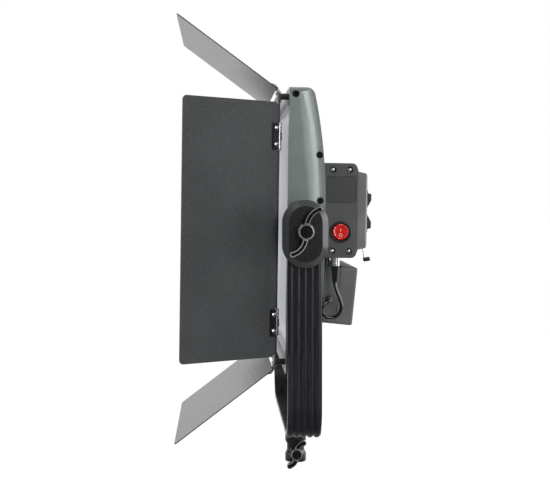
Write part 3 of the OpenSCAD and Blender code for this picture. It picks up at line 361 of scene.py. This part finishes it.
def nickel():
    # Nickel-plated brass of the plug and socket: warm and nearly mirror-bright.
    return clouded("nickel plate, polished brass", "#cfccc4", "#e2e0da", 3.0, rough=(0.12, 0.22),
                   Metallic=1.0)


def plain_aluminium():
    # Rolled aluminium plate, as cut: faint rolling lines up the plate.
    return lined("rolled aluminium, plain", "#a9acae", "#c3c6c8", (0.3, 0.42), (1.0, 1.0, 0.03),
                 ROLLING_LINES, 3.0, Metallic=1.0)


def opal_acrylic(colours):
    # Opal acrylic diffuser, cast: white with a satin face and a faint depth, its colour greyed as painted shade on
    # the front.
    return clouded("opal acrylic, glossy white", "#c6c7cd", colours.diffuser, 80, 1.0, Roughness=0.3,
                   IOR=1.49, Subsurface_Weight=0.1, Subsurface_Radius=(0.002, 0.002, 0.002))


def solder_mask(name, light, dark):
    # Printed circuit board: solder mask over faint traces.
    material, tree = new_material(name)
    place = add(tree, "ShaderNodeTexCoord").outputs["Object"]
    traces = add(tree, "ShaderNodeTexWave", {"Vector": place, "Scale": per_mm(TRACE_MM) / TURN,
                                             "Distortion": 2.0}, bands_direction="Z")
    tint = add(tree, "ShaderNodeValToRGB", {"Fac": traces.outputs["Fac"]}, colours=(dark, light))
    finished(tree, Base_Color=tint.outputs["Color"], Roughness=0.3)
    return material


def led_phosphor():
    # Surface-mount LED: yellow phosphor under clear silicone.
    return clouded("LED phosphor, yellow silicone", "#e6cf62", "#f4e59a", 1.5, Roughness=0.2)


def red_rocker(colours):
    # Tinted polycarbonate over a neon lamp: saturated red, glossy, glowing a little in its depth.
    return clouded("tinted polycarbonate, red", "#a80a04", colours.rocker, 5.0, Roughness=0.14,
                   Coat_Weight=0.6, Coat_Roughness=0.06, Subsurface_Weight=0.2,
                   Subsurface_Radius=(0.004, 0.0004, 0.0003), Emission_Color=linear("#d81006"),
                   Emission_Strength=0.08)


def printed_white():
    # Pad-printed enamel of the switch's marks.
    return clouded("pad print, white", "#e8d6d2", "#f6eeec", 0.8, Roughness=0.4)


def fibre():
    # Pressed friction fibre, dark, with 1 mm strands.
    return moulded("pressed fibre, dark", "#3a3835", "#2a2826", 0.75, 1.0, 0.08)


def cable_jacket(colours):
    # Soft PVC jacket, extruded: black with an oily gloss.
    return moulded("PVC jacket, soft black", colours.cable, "#0a0a0b", 0.22, 2.2, 0.006, Coat_Weight=0.6,
                   Coat_Roughness=0.1)


def finishes(colours):
    """Makes every finish once, by a short name."""
    return {
        "satin_sheet": door_coat(colours), "coated": frame_coat(colours), "lacquer": housing_paint(colours),
        "anodised": yoke_anodising(colours), "nylon": cover_plastic(colours),
        "phenolic": lever_plastic(colours), "charcoal": case_plastic(colours), "lid_coat": lid_paint(colours),
        "etched": adapter_plastic(colours), "red": red_rocker(colours), "enamel": printed_white(),
        "cable": cable_jacket(colours), "zinc": bright_zinc(), "label_film": bare_label(colours),
        # The lever edges' finish and the cover rims' finish here are painted highlights.
        "silver": bezel_metal(colours), "blanks": plug_rubber(), "polished": lever_edge_highlight(),
        "enamelled": hinge_enamel(), "highlit": cover_rim_highlight(), "nickel": nickel(), "plate": plain_aluminium(),
        "opal": opal_acrylic(colours), "white_board": solder_mask("solder mask, white", "#eceae4", "#dedcd4"),
        "phosphor": led_phosphor(), "green_board": solder_mask("solder mask, green", "#2c7a4a", "#1f5c37"),
        "fibre": fibre(),
    }


def finish_of(node):
    """The name of a solid's finish."""
    slot_name = next(part["material_slot"] for part in frame["record"]["subparts"] if part["node"] == node)
    if "lever" in node and slot_name == "black_plastic":
        return "phenolic"
    return NODE_LOOKS.get(node, SLOT_LOOKS[slot_name])


# ---- mesh helpers ----


def select_only(*pieces):
    """Leaves only these pieces selected, the first of them active."""
    if bpy.context.object and bpy.context.object.mode != "OBJECT":
        bpy.ops.object.mode_set(mode="OBJECT")
    bpy.ops.object.select_all(action="DESELECT")
    for piece in pieces:
        piece.select_set(True)
    bpy.context.view_layer.objects.active = pieces[0] if pieces else None


def apply_modifier(piece, kind, **settings):
    """Adds a modifier with its settings and applies it."""
    select_only(piece)
    bpy.ops.object.modifier_add(type=kind)
    modifier = piece.modifiers[-1]
    for name, value in settings.items():
        setattr(modifier, name, value)
    bpy.ops.object.modifier_apply(modifier=modifier.name)


def placed(piece):
    """Moves a piece's place into its mesh."""
    select_only(piece)
    bpy.ops.object.transform_apply(location=True, rotation=True, scale=True)
    return piece


def dressed(piece, finish, slot_name, body, *nodes):
    """Gives a piece its finish and its body, and hides the nodes that it stands for; slot_name is not used."""
    piece.data.materials.clear()
    piece.data.materials.append(LOOKS[finish])
    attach(piece, body)
    if nodes:
        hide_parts(*nodes)


def smoothed(piece, degrees=32):
    """Smooth shading, broken at edges sharper than an angle."""
    select_only(piece)
    bpy.ops.object.shade_smooth_by_angle(angle=math.radians(degrees))
    apply_modifier(piece, "WEIGHTED_NORMAL", keep_sharp=True)
    return piece


def softened(node, name, width_mm, segments=2, degrees=35, clamp=False):
    """A merged copy of a solid with its edges rounded, held back at crowded corners where that is asked."""
    piece = bpy.data.objects.new(name, frame["nodes"][node].data.copy())
    bpy.context.scene.collection.objects.link(piece)
    select_only(piece)
    bpy.ops.object.mode_set(mode="EDIT")
    bpy.ops.mesh.select_all(action="SELECT")
    bpy.ops.mesh.remove_doubles(threshold=MERGE_MM * MM)
    bpy.ops.mesh.dissolve_limited(angle_limit=math.radians(FLAT_DEGREES))
    bpy.ops.object.mode_set(mode="OBJECT")
    apply_modifier(piece, "BEVEL", width=width_mm * MM, segments=segments, limit_method="ANGLE",
                   angle_limit=math.radians(degrees), use_clamp_overlap=clamp)
    return smoothed(piece)


def rounded(node, name, width_mm, finish, slot_name, body, **how):
    """Stands a softened copy in for a solid, with its own finish."""
    dressed(softened(node, name, width_mm, **how), finish, slot_name, body, node)


def near_hinge(face):
    """Whether a face lies in a knuckle of one of the door hinges."""
    return any((face.center - pin).cross(along).length < KNUCKLE_MM * MM for pin, along in HINGES.values())


def on_edge(face):
    """Whether a face slopes between the outer side and the rim of a lever or cover: the faces that carry a painted
    highlight.
    """
    least, most = SLOPES
    return least < abs(face.normal.x) < most


def parted(piece, name, inside):
    """Parts the faces that pass a test off into a piece of their own."""
    select_only(piece)
    bpy.ops.object.mode_set(mode="EDIT")
    bpy.ops.mesh.select_mode(type="FACE")
    bpy.ops.mesh.select_all(action="DESELECT")
    bpy.ops.object.mode_set(mode="OBJECT")
    for face in piece.data.polygons:
        face.select = inside(face)
    bpy.ops.object.mode_set(mode="EDIT")
    bpy.ops.mesh.separate(type="SELECTED")
    bpy.ops.object.mode_set(mode="OBJECT")
    part = next(other for other in bpy.context.selected_objects if other is not piece)
    part.name = name
    return part


def smooth_route(points, steps):
    """A Catmull-Rom line through the points, with so many steps between each two."""
    ends = [points[0] * 2 - points[1]] + list(points) + [points[-1] * 2 - points[-2]]
    line = []
    for a, b, c, d in zip(ends, ends[1:], ends[2:], ends[3:]):
        for i in range(steps):
            t = i / steps
            line.append(0.5 * (2 * b + (c - a) * t + (2 * a - 5 * b + 4 * c - d) * t * t
                               + (3 * b - a - 3 * c + d) * t ** 3))
    return line + [points[-1]]


# ---- settings ----


class LightColours(bpy.types.PropertyGroup):
    """Colours of the light's finishes, as hex text."""

    door: bpy.props.StringProperty(name="Doors", description="Powder coat of the four leaves",
                                   default="#3f4142")
    fittings: bpy.props.StringProperty(name="Fittings", description="Powder coat of frame and hinges",
                                       default="#2c2d2f")
    housing: bpy.props.StringProperty(name="Housing", description="Metallic lacquer of the head",
                                      default="#6f7675")
    yoke: bpy.props.StringProperty(name="Yoke", description="Anodising of the yoke", default="#3a3b3e")
    cover: bpy.props.StringProperty(name="Covers", description="Plastic of the pivot covers",
                                    default="#161617")
    lever: bpy.props.StringProperty(name="Levers", description="Plastic of the lock levers",
                                    default="#0f0f10")
    case: bpy.props.StringProperty(name="Control box", description="Plastic of the control box",
                                   default="#484949")
    # The rear lid's grey, lighter than the case's, is painted light on its slopes.
    lid: bpy.props.StringProperty(name="Rear lid", description="Paint of the rear lid", default="#6c6d6d")
    adapter: bpy.props.StringProperty(name="Adapter", description="Plastic of the adapter", default="#646565")
    # The diffuser's light grey is painted shade: the opal itself is white.
    diffuser: bpy.props.StringProperty(name="Diffuser", description="Opal acrylic of the front",
                                       default="#cfd0d6")
    film: bpy.props.StringProperty(name="Label film", description="Bare label on each side cover",
                                   default="#373838")
    bezel: bpy.props.StringProperty(name="Bezel", description="Lacquer of the front bezel", default="#d2d3d9")
    rocker: bpy.props.StringProperty(name="Power rocker", description="Tinted plastic of the power rocker",
                                     default="#d4140a")
    cable: bpy.props.StringProperty(name="Cable", description="Jacket of the low-voltage lead",
                                    default="#121213")


class LightSizes(bpy.types.PropertyGroup):
    """Sizes of what is dressed over the solids, in metres."""

    cover_edge: bpy.props.FloatProperty(name="Cover edge", description="Rounding of the pivot covers' edges",
                                        default=1.2 * MM, min=0.2 * MM, max=3 * MM, unit="LENGTH")
    lever_edge: bpy.props.FloatProperty(name="Lever edge", description="Rounding of the lock levers' edges",
                                        default=1.0 * MM, min=0.2 * MM, max=2 * MM, unit="LENGTH")
    case_edge: bpy.props.FloatProperty(name="Case edge", description="Rounding of the box and adapter edges",
                                       default=0.7 * MM, min=0.2 * MM, max=2 * MM, unit="LENGTH")
    lead: bpy.props.FloatProperty(name="Lead", description="Diameter of the low-voltage lead",
                                  default=4.0 * MM, min=3 * MM, max=5 * MM, unit="LENGTH")
    mark: bpy.props.FloatProperty(name="Marks", description="Height of the switch marks",
                                  default=3.2 * MM, min=1 * MM, max=4 * MM, unit="LENGTH")


class StageSettings(bpy.types.PropertyGroup):
    """Camera, lamps and floor."""

    lens: bpy.props.FloatProperty(name="Lens", description="Focal length in millimetres on a 36 mm sensor",
                                  default=83.8, min=20, max=200)
    eye: bpy.props.FloatVectorProperty(name="Camera", description="Place of the camera", size=3,
                                       default=(1.531, -0.0906, 0.3135), subtype="TRANSLATION")
    aim: bpy.props.FloatVectorProperty(name="Aim", description="What the camera looks at", size=3,
                                       default=(0.0, -0.0248, 0.2657), subtype="TRANSLATION")
    floor: bpy.props.FloatProperty(name="Floor", description="Height of the floor",
                                   default=-0.12, unit="LENGTH")


# ---- operators ----


class PANELLIGHT_OT_stage(bpy.types.Operator):
    """Sets the camera, the pale floor, the world and the soft lamps"""

    bl_idname = "panellight.stage"
    bl_label = "Stage"

    def execute(self, context):
        settings = context.scene.panel_stage
        eye, aim = Vector(settings.eye), Vector(settings.aim)
        bpy.ops.object.camera_add(location=eye, rotation=(aim - eye).to_track_quat("-Z", "Y").to_euler())
        camera = context.object
        camera.name = "stage_camera"
        camera.data.lens = settings.lens
        camera.data.clip_end = 60
        context.scene.camera = camera
        context.scene.view_settings.view_transform = "Standard"

        world = bpy.data.worlds.new("studio")
        context.scene.world = world
        world.use_nodes = True
        tree = world.node_tree
        tree.nodes.clear()
        path = add(tree, "ShaderNodeLightPath")
        seen = add(tree, "ShaderNodeMath", {0: path.outputs["Is Camera Ray"],
                                            1: path.outputs["Is Transmission Ray"]}, operation="MAXIMUM")
        way = add(tree, "ShaderNodeTexCoord").outputs["Generated"]
        soft = add(tree, "ShaderNodeMapRange", {"Value": path.outputs["Is Glossy Ray"], "To Min": SOFT_LIGHT,
                                                "To Max": backdrop(tree, way, *WORLD_TURN)})
        strength = add(tree, "ShaderNodeMapRange", {"Value": seen.outputs[0],
                                                    "To Min": soft.outputs["Result"], "To Max": 1.0})
        light = add(tree, "ShaderNodeBackground", {"Color": (1, 1, 1, 1),
                                                   "Strength": strength.outputs["Result"]})
        add(tree, "ShaderNodeOutputWorld", {"Surface": light.outputs["Background"]})

        bpy.ops.mesh.primitive_plane_add(size=FLOOR_WIDTH, location=(0, 0, settings.floor))
        floor = context.object
        floor.name = "stage_floor"
        material, tree = new_material("stage paper, white")
        path = add(tree, "ShaderNodeLightPath")
        spot = add(tree, "ShaderNodeNewGeometry").outputs["Position"]
        seen = add(tree, "ShaderNodeMath", {0: path.outputs["Is Camera Ray"],
                                            1: path.outputs["Is Glossy Ray"]}, operation="MAXIMUM")
        paper = add(tree, "ShaderNodeBsdfDiffuse", {"Color": linear("#f2f2f2")})
        bright = add(tree, "ShaderNodeMapRange", {"Value": path.outputs["Is Glossy Ray"],
                                                  "To Min": FLOOR_GLOW,
                                                  "To Max": backdrop(tree, spot, *FLOOR_TURN)})
        glow = add(tree, "ShaderNodeEmission", {"Color": (1, 1, 1, 1), "Strength": bright.outputs["Result"]})
        share = add(tree, "ShaderNodeMath", {0: seen.outputs[0], 1: GLOW_SHARE}, operation="MULTIPLY")
        mix = add(tree, "ShaderNodeMixShader", {0: share.outputs[0], 1: paper.outputs[0], 2: glow.outputs[0]})
        add(tree, "ShaderNodeOutputMaterial", {"Surface": mix.outputs[0]})
        floor.data.materials.append(material)

        for name, place, size, power in LAMPS:
            place = Vector(place)
            bpy.ops.object.light_add(type="AREA", location=place,
                                     rotation=(PIVOT - place).to_track_quat("-Z", "Y").to_euler())
            lamp = context.object
            lamp.name = "stage_lamp_" + name
            lamp.data.size = size
            lamp.data.energy = power
        return {"FINISHED"}


class PANELLIGHT_OT_finishes(bpy.types.Operator):
    """Gives every solid the finish of its real material"""

    bl_idname = "panellight.finishes"
    bl_label = "Finishes"

    def execute(self, context):
        for node, piece in frame["nodes"].items():
            piece.data.materials.clear()
            piece.data.materials.append(LOOKS[finish_of(node)])
        return {"FINISHED"}


class PANELLIGHT_OT_lead(bpy.types.Operator):
    """Lays the low-voltage lead from the adapter's relief to its plug, and the plug's boot"""

    bl_idname = "panellight.lead"
    bl_label = "Low-voltage lead"

    def execute(self, context):
        points = smooth_route([HEAD @ (Vector(p) * MM) for p in LEAD], 6)
        curve = bpy.data.curves.new("low_voltage_lead", "CURVE")
        curve.dimensions = "3D"
        curve.bevel_depth = context.scene.panel_sizes.lead / 2
        curve.bevel_resolution = 6
        spline = curve.splines.new("POLY")
        spline.points.add(len(points) - 1)
        for spot, point in zip(spline.points, points):
            spot.co = (*point, 1)
        lead = bpy.data.objects.new("low_voltage_lead", curve)
        context.scene.collection.objects.link(lead)
        curve.materials.append(LOOKS["cable"])
        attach(lead, "head")
        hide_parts("dc_lead")
        rounded("plug_boot", "plug_boot_sleeve", 0.5, "cable", "cable_rubber", "head")
        return {"FINISHED"}


class PANELLIGHT_OT_yoke_fittings(bpy.types.Operator):
    """Rounds the edges of the pivot covers, the levers and the receiver"""

    bl_idname = "panellight.yoke_fittings"
    bl_label = "Yoke fittings"

    def lever(self, node, name, body, edge_mm):
        """Rounds a lever and parts its sloping edges off, for a painted highlight."""
        grip = softened(node, name + "_grip", edge_mm)
        edges = parted(grip, name + "_edges", on_edge)
        dressed(grip, "phenolic", "black_plastic", body, node)
        # The lever's sloping edges get a paler finish: a painted highlight.
        dressed(edges, "polished", "black_plastic", body)

    def execute(self, context):
        sizes = context.scene.panel_sizes
        for side in SIDES:
            cover = softened(side + "_pivot_cover", side + "_cover_shell", sizes.cover_edge / MM, segments=4,
                             clamp=True)
            # The cover's sloping rim is parted off and given a greyer finish: a painted highlight.
            rim = parted(cover, side + "_cover_rim_highlight", on_edge)
            dressed(cover, "nylon", "black_plastic", "yoke", side + "_pivot_cover")
            dressed(rim, "highlit", "black_plastic", "yoke")
            self.lever(side + "_tilt_lever", side + "_lever", side + "_lock", sizes.lever_edge / MM)
        self.lever("stand_lever", "stand_lever", "stand_lock", 0.8 * sizes.lever_edge / MM)
        rounded("stand_receiver", "stand_receiver_body", 0.5, "anodised", "black_paint", "yoke", clamp=True)
        return {"FINISHED"}


class PANELLIGHT_OT_head(bpy.types.Operator):
    """Rounds the edges of the end caps"""

    bl_idname = "panellight.head"
    bl_label = "End caps"

    def execute(self, context):
        for side in SIDES:
            rounded(side + "_end_cap", side + "_cap_shell", 0.6, "lacquer", "housing_paint", "head",
                    segments=3, clamp=True)
        return {"FINISHED"}


class PANELLIGHT_OT_box(bpy.types.Operator):
    """Rounds the edges of the control box, its covers and its rear lid"""

    bl_idname = "panellight.box"
    bl_label = "Control box"

    def execute(self, context):
        edge = context.scene.panel_sizes.case_edge / MM
        out, back, up = FILM_AT
        for side, across in zip(SIDES, (out, -out)):
            rounded(side + "_side_cover", side + "_side_plate", edge, "charcoal", "case_plastic", "head")
            select_only()
            bpy.ops.mesh.primitive_cube_add(size=1, scale=[size * MM for size in FILM_SIZE],
                                            location=Vector((across, back, up)) * MM)
            film = placed(context.object)
            film.name = side + "_label_film"
            apply_modifier(film, "BEVEL", width=FILM_EDGE * MM, segments=2)
            film.data.transform(HEAD)
            dressed(smoothed(film), "label_film", "case_plastic", "head")
        rounded("rear_cover", "rear_lid", 1.4 * edge, "lid_coat", "case_plastic", "head", segments=3,
                degrees=18, clamp=True)
        for name in ("upper", "lower"):
            rounded(name + "_rear_rocker", name + "_rear_key", 0.4, "nylon", "black_plastic",
                    name + "_rear_rocker")
        rounded("power_switch_body", "power_switch_ring", 0.6, "nylon", "black_plastic", "head", segments=3)
        rounded("release_tab", "release_pad", 0.6, "nylon", "black_plastic", "release_lever")
        return {"FINISHED"}


class PANELLIGHT_OT_power_rocker(bpy.types.Operator):
    """Models the round power rocker, dished, with its I and O marks"""

    bl_idname = "panellight.power_rocker"
    bl_label = "Power rocker"

    def execute(self, context):
        tilt = (HEAD @ Matrix.Translation(Vector(ROCKER_AT) * MM)
                @ Matrix.Rotation(math.radians(ROCKER_LEAN), 4, "Y"))
        select_only()
        bpy.ops.mesh.primitive_uv_sphere_add(segments=64, ring_count=48, radius=ROCKER_RADIUS * MM)
        rocker = context.object
        rocker.name = "power_key"
        bpy.ops.object.mode_set(mode="EDIT")
        for side in (1, -1):
            bpy.ops.mesh.select_all(action="SELECT")
            bpy.ops.mesh.bisect(plane_co=(side * ROCKER_HALF * MM, 0, 0), plane_no=(side, 0, 0),
                                use_fill=True, clear_outer=True)
        bpy.ops.object.mode_set(mode="OBJECT")
        for face in rocker.data.polygons:
            face.select = face.normal.x > 0.99 and face.center.x > (ROCKER_HALF - 0.1) * MM
        bpy.ops.object.mode_set(mode="EDIT")
        bpy.ops.mesh.select_mode(type="FACE")
        bpy.ops.mesh.inset(thickness=ROCKER_LIP * MM)
        bpy.ops.mesh.inset(thickness=ROCKER_SLOPE * MM)
        bpy.ops.transform.translate(value=(-ROCKER_DISH * MM, 0, 0))
        bpy.ops.object.mode_set(mode="OBJECT")
        apply_modifier(rocker, "BEVEL", width=ROCKER_EDGE * MM, segments=3, limit_method="ANGLE",
                       angle_limit=math.radians(14))
        smoothed(rocker, 40)
        rocker.data.transform(tilt)
        dressed(rocker, "red", "red_plastic", "power_rocker", "power_rocker")

        mark_height = context.scene.panel_sizes.mark
        select_only()
        bpy.ops.mesh.primitive_cube_add(size=1, location=(MARK_OUT * MM, 0, BAR_UP * MM),
                                        scale=(BAR_DEPTH * MM, BAR_WIDTH * MM, mark_height))
        bar = placed(context.object)
        apply_modifier(bar, "BEVEL", width=BAR_EDGE * MM, segments=2)
        select_only()
        bpy.ops.mesh.primitive_torus_add(location=(MARK_OUT * MM, 0, -RING_DOWN * MM),
                                         rotation=(0, math.radians(90), 0), major_radius=0.5 * mark_height,
                                         minor_radius=RING_WIRE * MM, major_segments=40, minor_segments=8)
        ring = placed(context.object)
        select_only(bar, ring)
        bpy.ops.object.join()
        marks = context.object
        marks.name = "power_marks"
        smoothed(marks, 40)
        marks.data.transform(tilt)
        dressed(marks, "enamel", "red_plastic", "power_rocker")
        return {"FINISHED"}


class PANELLIGHT_OT_adapter(bpy.types.Operator):
    """Rounds the edges of the adapter's halves and its cradle"""

    bl_idname = "panellight.adapter"
    bl_label = "Adapter"

    def execute(self, context):
        edge = context.scene.panel_sizes.case_edge / MM
        for name in ("base", "lid"):
            rounded("brick_" + name, "adapter_" + name, edge, "etched", "case_plastic", "head", degrees=40)
        rounded("brick_cradle", "adapter_cradle", 0.4, "coated", "black_paint", "head")
        return {"FINISHED"}


class PANELLIGHT_OT_doors(bpy.types.Operator):
    """Breaks the edges of the leaves, hinges and door frame, and lays the hinges' bright edges"""

    bl_idname = "panellight.doors"
    bl_label = "Barn doors"

    def rolled_edges(self, context, side):
        """Lays the bright rolled edge along each hinge of a leaf, outside its pin and just under its top."""
        pin, along = HINGES[side + "_door"]
        tip = max((v.co - pin for v in frame["nodes"][side + "_leaf"].data.vertices),
                  key=lambda spot: spot.cross(along).length)
        out = (tip - along * tip.dot(along)).normalized()
        up = along.cross(out)
        if up.dot(pin - PIVOT) < 0:
            up = -up
        spots = [v.co - pin for v in frame["nodes"][side + "_leaf_hinges"].data.vertices]
        height = max(spot.dot(up) for spot in spots) - ROLL_SINK * MM
        rods = []
        for end in (-1, 1):
            reach = [spot.dot(along) for spot in spots if spot.dot(along) * end > 0]
            middle = pin + out * ROLL_OUT * MM + up * height + along * (max(reach) + min(reach)) / 2
            select_only()
            bpy.ops.mesh.primitive_cylinder_add(vertices=24, radius=ROLL_RADIUS * MM, location=middle,
                                                depth=max(reach) - min(reach) - ROLL_SHORT * MM,
                                                rotation=along.to_track_quat("Z", "Y").to_euler())
            rods.append(placed(context.object))
            apply_modifier(rods[-1], "BEVEL", width=ROLL_EDGE * MM, segments=2, limit_method="ANGLE")
        select_only(*rods)
        bpy.ops.object.join()
        rods = smoothed(context.object)
        rods.name = side + "_rolled_edges"
        dressed(rods, "zinc", "steel", side + "_door")

    def hinges(self, node, name, body, edge_mm):
        """Breaks the edges of a set of hinges and parts their bare barrels off."""
        plates = softened(node, name + "_hinges", edge_mm)
        barrels = parted(plates, name + "_barrels", near_hinge)
        dressed(plates, "enamelled", "black_paint", body, node)
        dressed(barrels, "zinc", "steel", body)

    def execute(self, context):
        for side in DOORS:
            self.rolled_edges(context, side)
            rounded(side + "_leaf", side + "_door_sheet", 0.3, "satin_sheet", "leaf_paint", side + "_door")
            self.hinges(side + "_leaf_hinges", side + "_door", side + "_door", 0.35)
        self.hinges("frame_hinges", "fixed", "head", 0.3)
        rounded("barn_frame", "door_frame", 0.4, "coated", "black_paint", "head")
        return {"FINISHED"}


class PANELLIGHT_PT_panel(bpy.types.Panel):
    """Lists the pieces of the panel light"""

    bl_label = "Panel Light"
    bl_idname = "PANELLIGHT_PT_panel"
    bl_space_type = "VIEW_3D"
    bl_region_type = "UI"
    bl_category = "Panel Light"

    def draw(self, context):
        for operator in OPERATORS:
            self.layout.operator(operator.bl_idname)
        for group in (context.scene.panel_colours, context.scene.panel_sizes, context.scene.panel_stage):
            column = self.layout.column()
            for name in group.__annotations__:
                column.prop(group, name)


OPERATORS = (PANELLIGHT_OT_stage, PANELLIGHT_OT_finishes, PANELLIGHT_OT_lead, PANELLIGHT_OT_yoke_fittings,
             PANELLIGHT_OT_head, PANELLIGHT_OT_box, PANELLIGHT_OT_power_rocker, PANELLIGHT_OT_adapter,
             PANELLIGHT_OT_doors)
CLASSES = (LightColours, LightSizes, StageSettings) + OPERATORS + (PANELLIGHT_PT_panel,)


def register():
    for kind in CLASSES:
        bpy.utils.register_class(kind)
    bpy.types.Scene.panel_colours = bpy.props.PointerProperty(type=LightColours)
    bpy.types.Scene.panel_sizes = bpy.props.PointerProperty(type=LightSizes)
    bpy.types.Scene.panel_stage = bpy.props.PointerProperty(type=StageSettings)


def unregister():
    del bpy.types.Scene.panel_colours, bpy.types.Scene.panel_sizes, bpy.types.Scene.panel_stage
    for kind in reversed(CLASSES):
        bpy.utils.unregister_class(kind)


def main():
    register()
    LOOKS.update(finishes(bpy.context.scene.panel_colours))
    for operator in OPERATORS:
        group, name = operator.bl_idname.split(".")
        getattr(getattr(bpy.ops, group), name)()


if __name__ == "__main__":
    main()
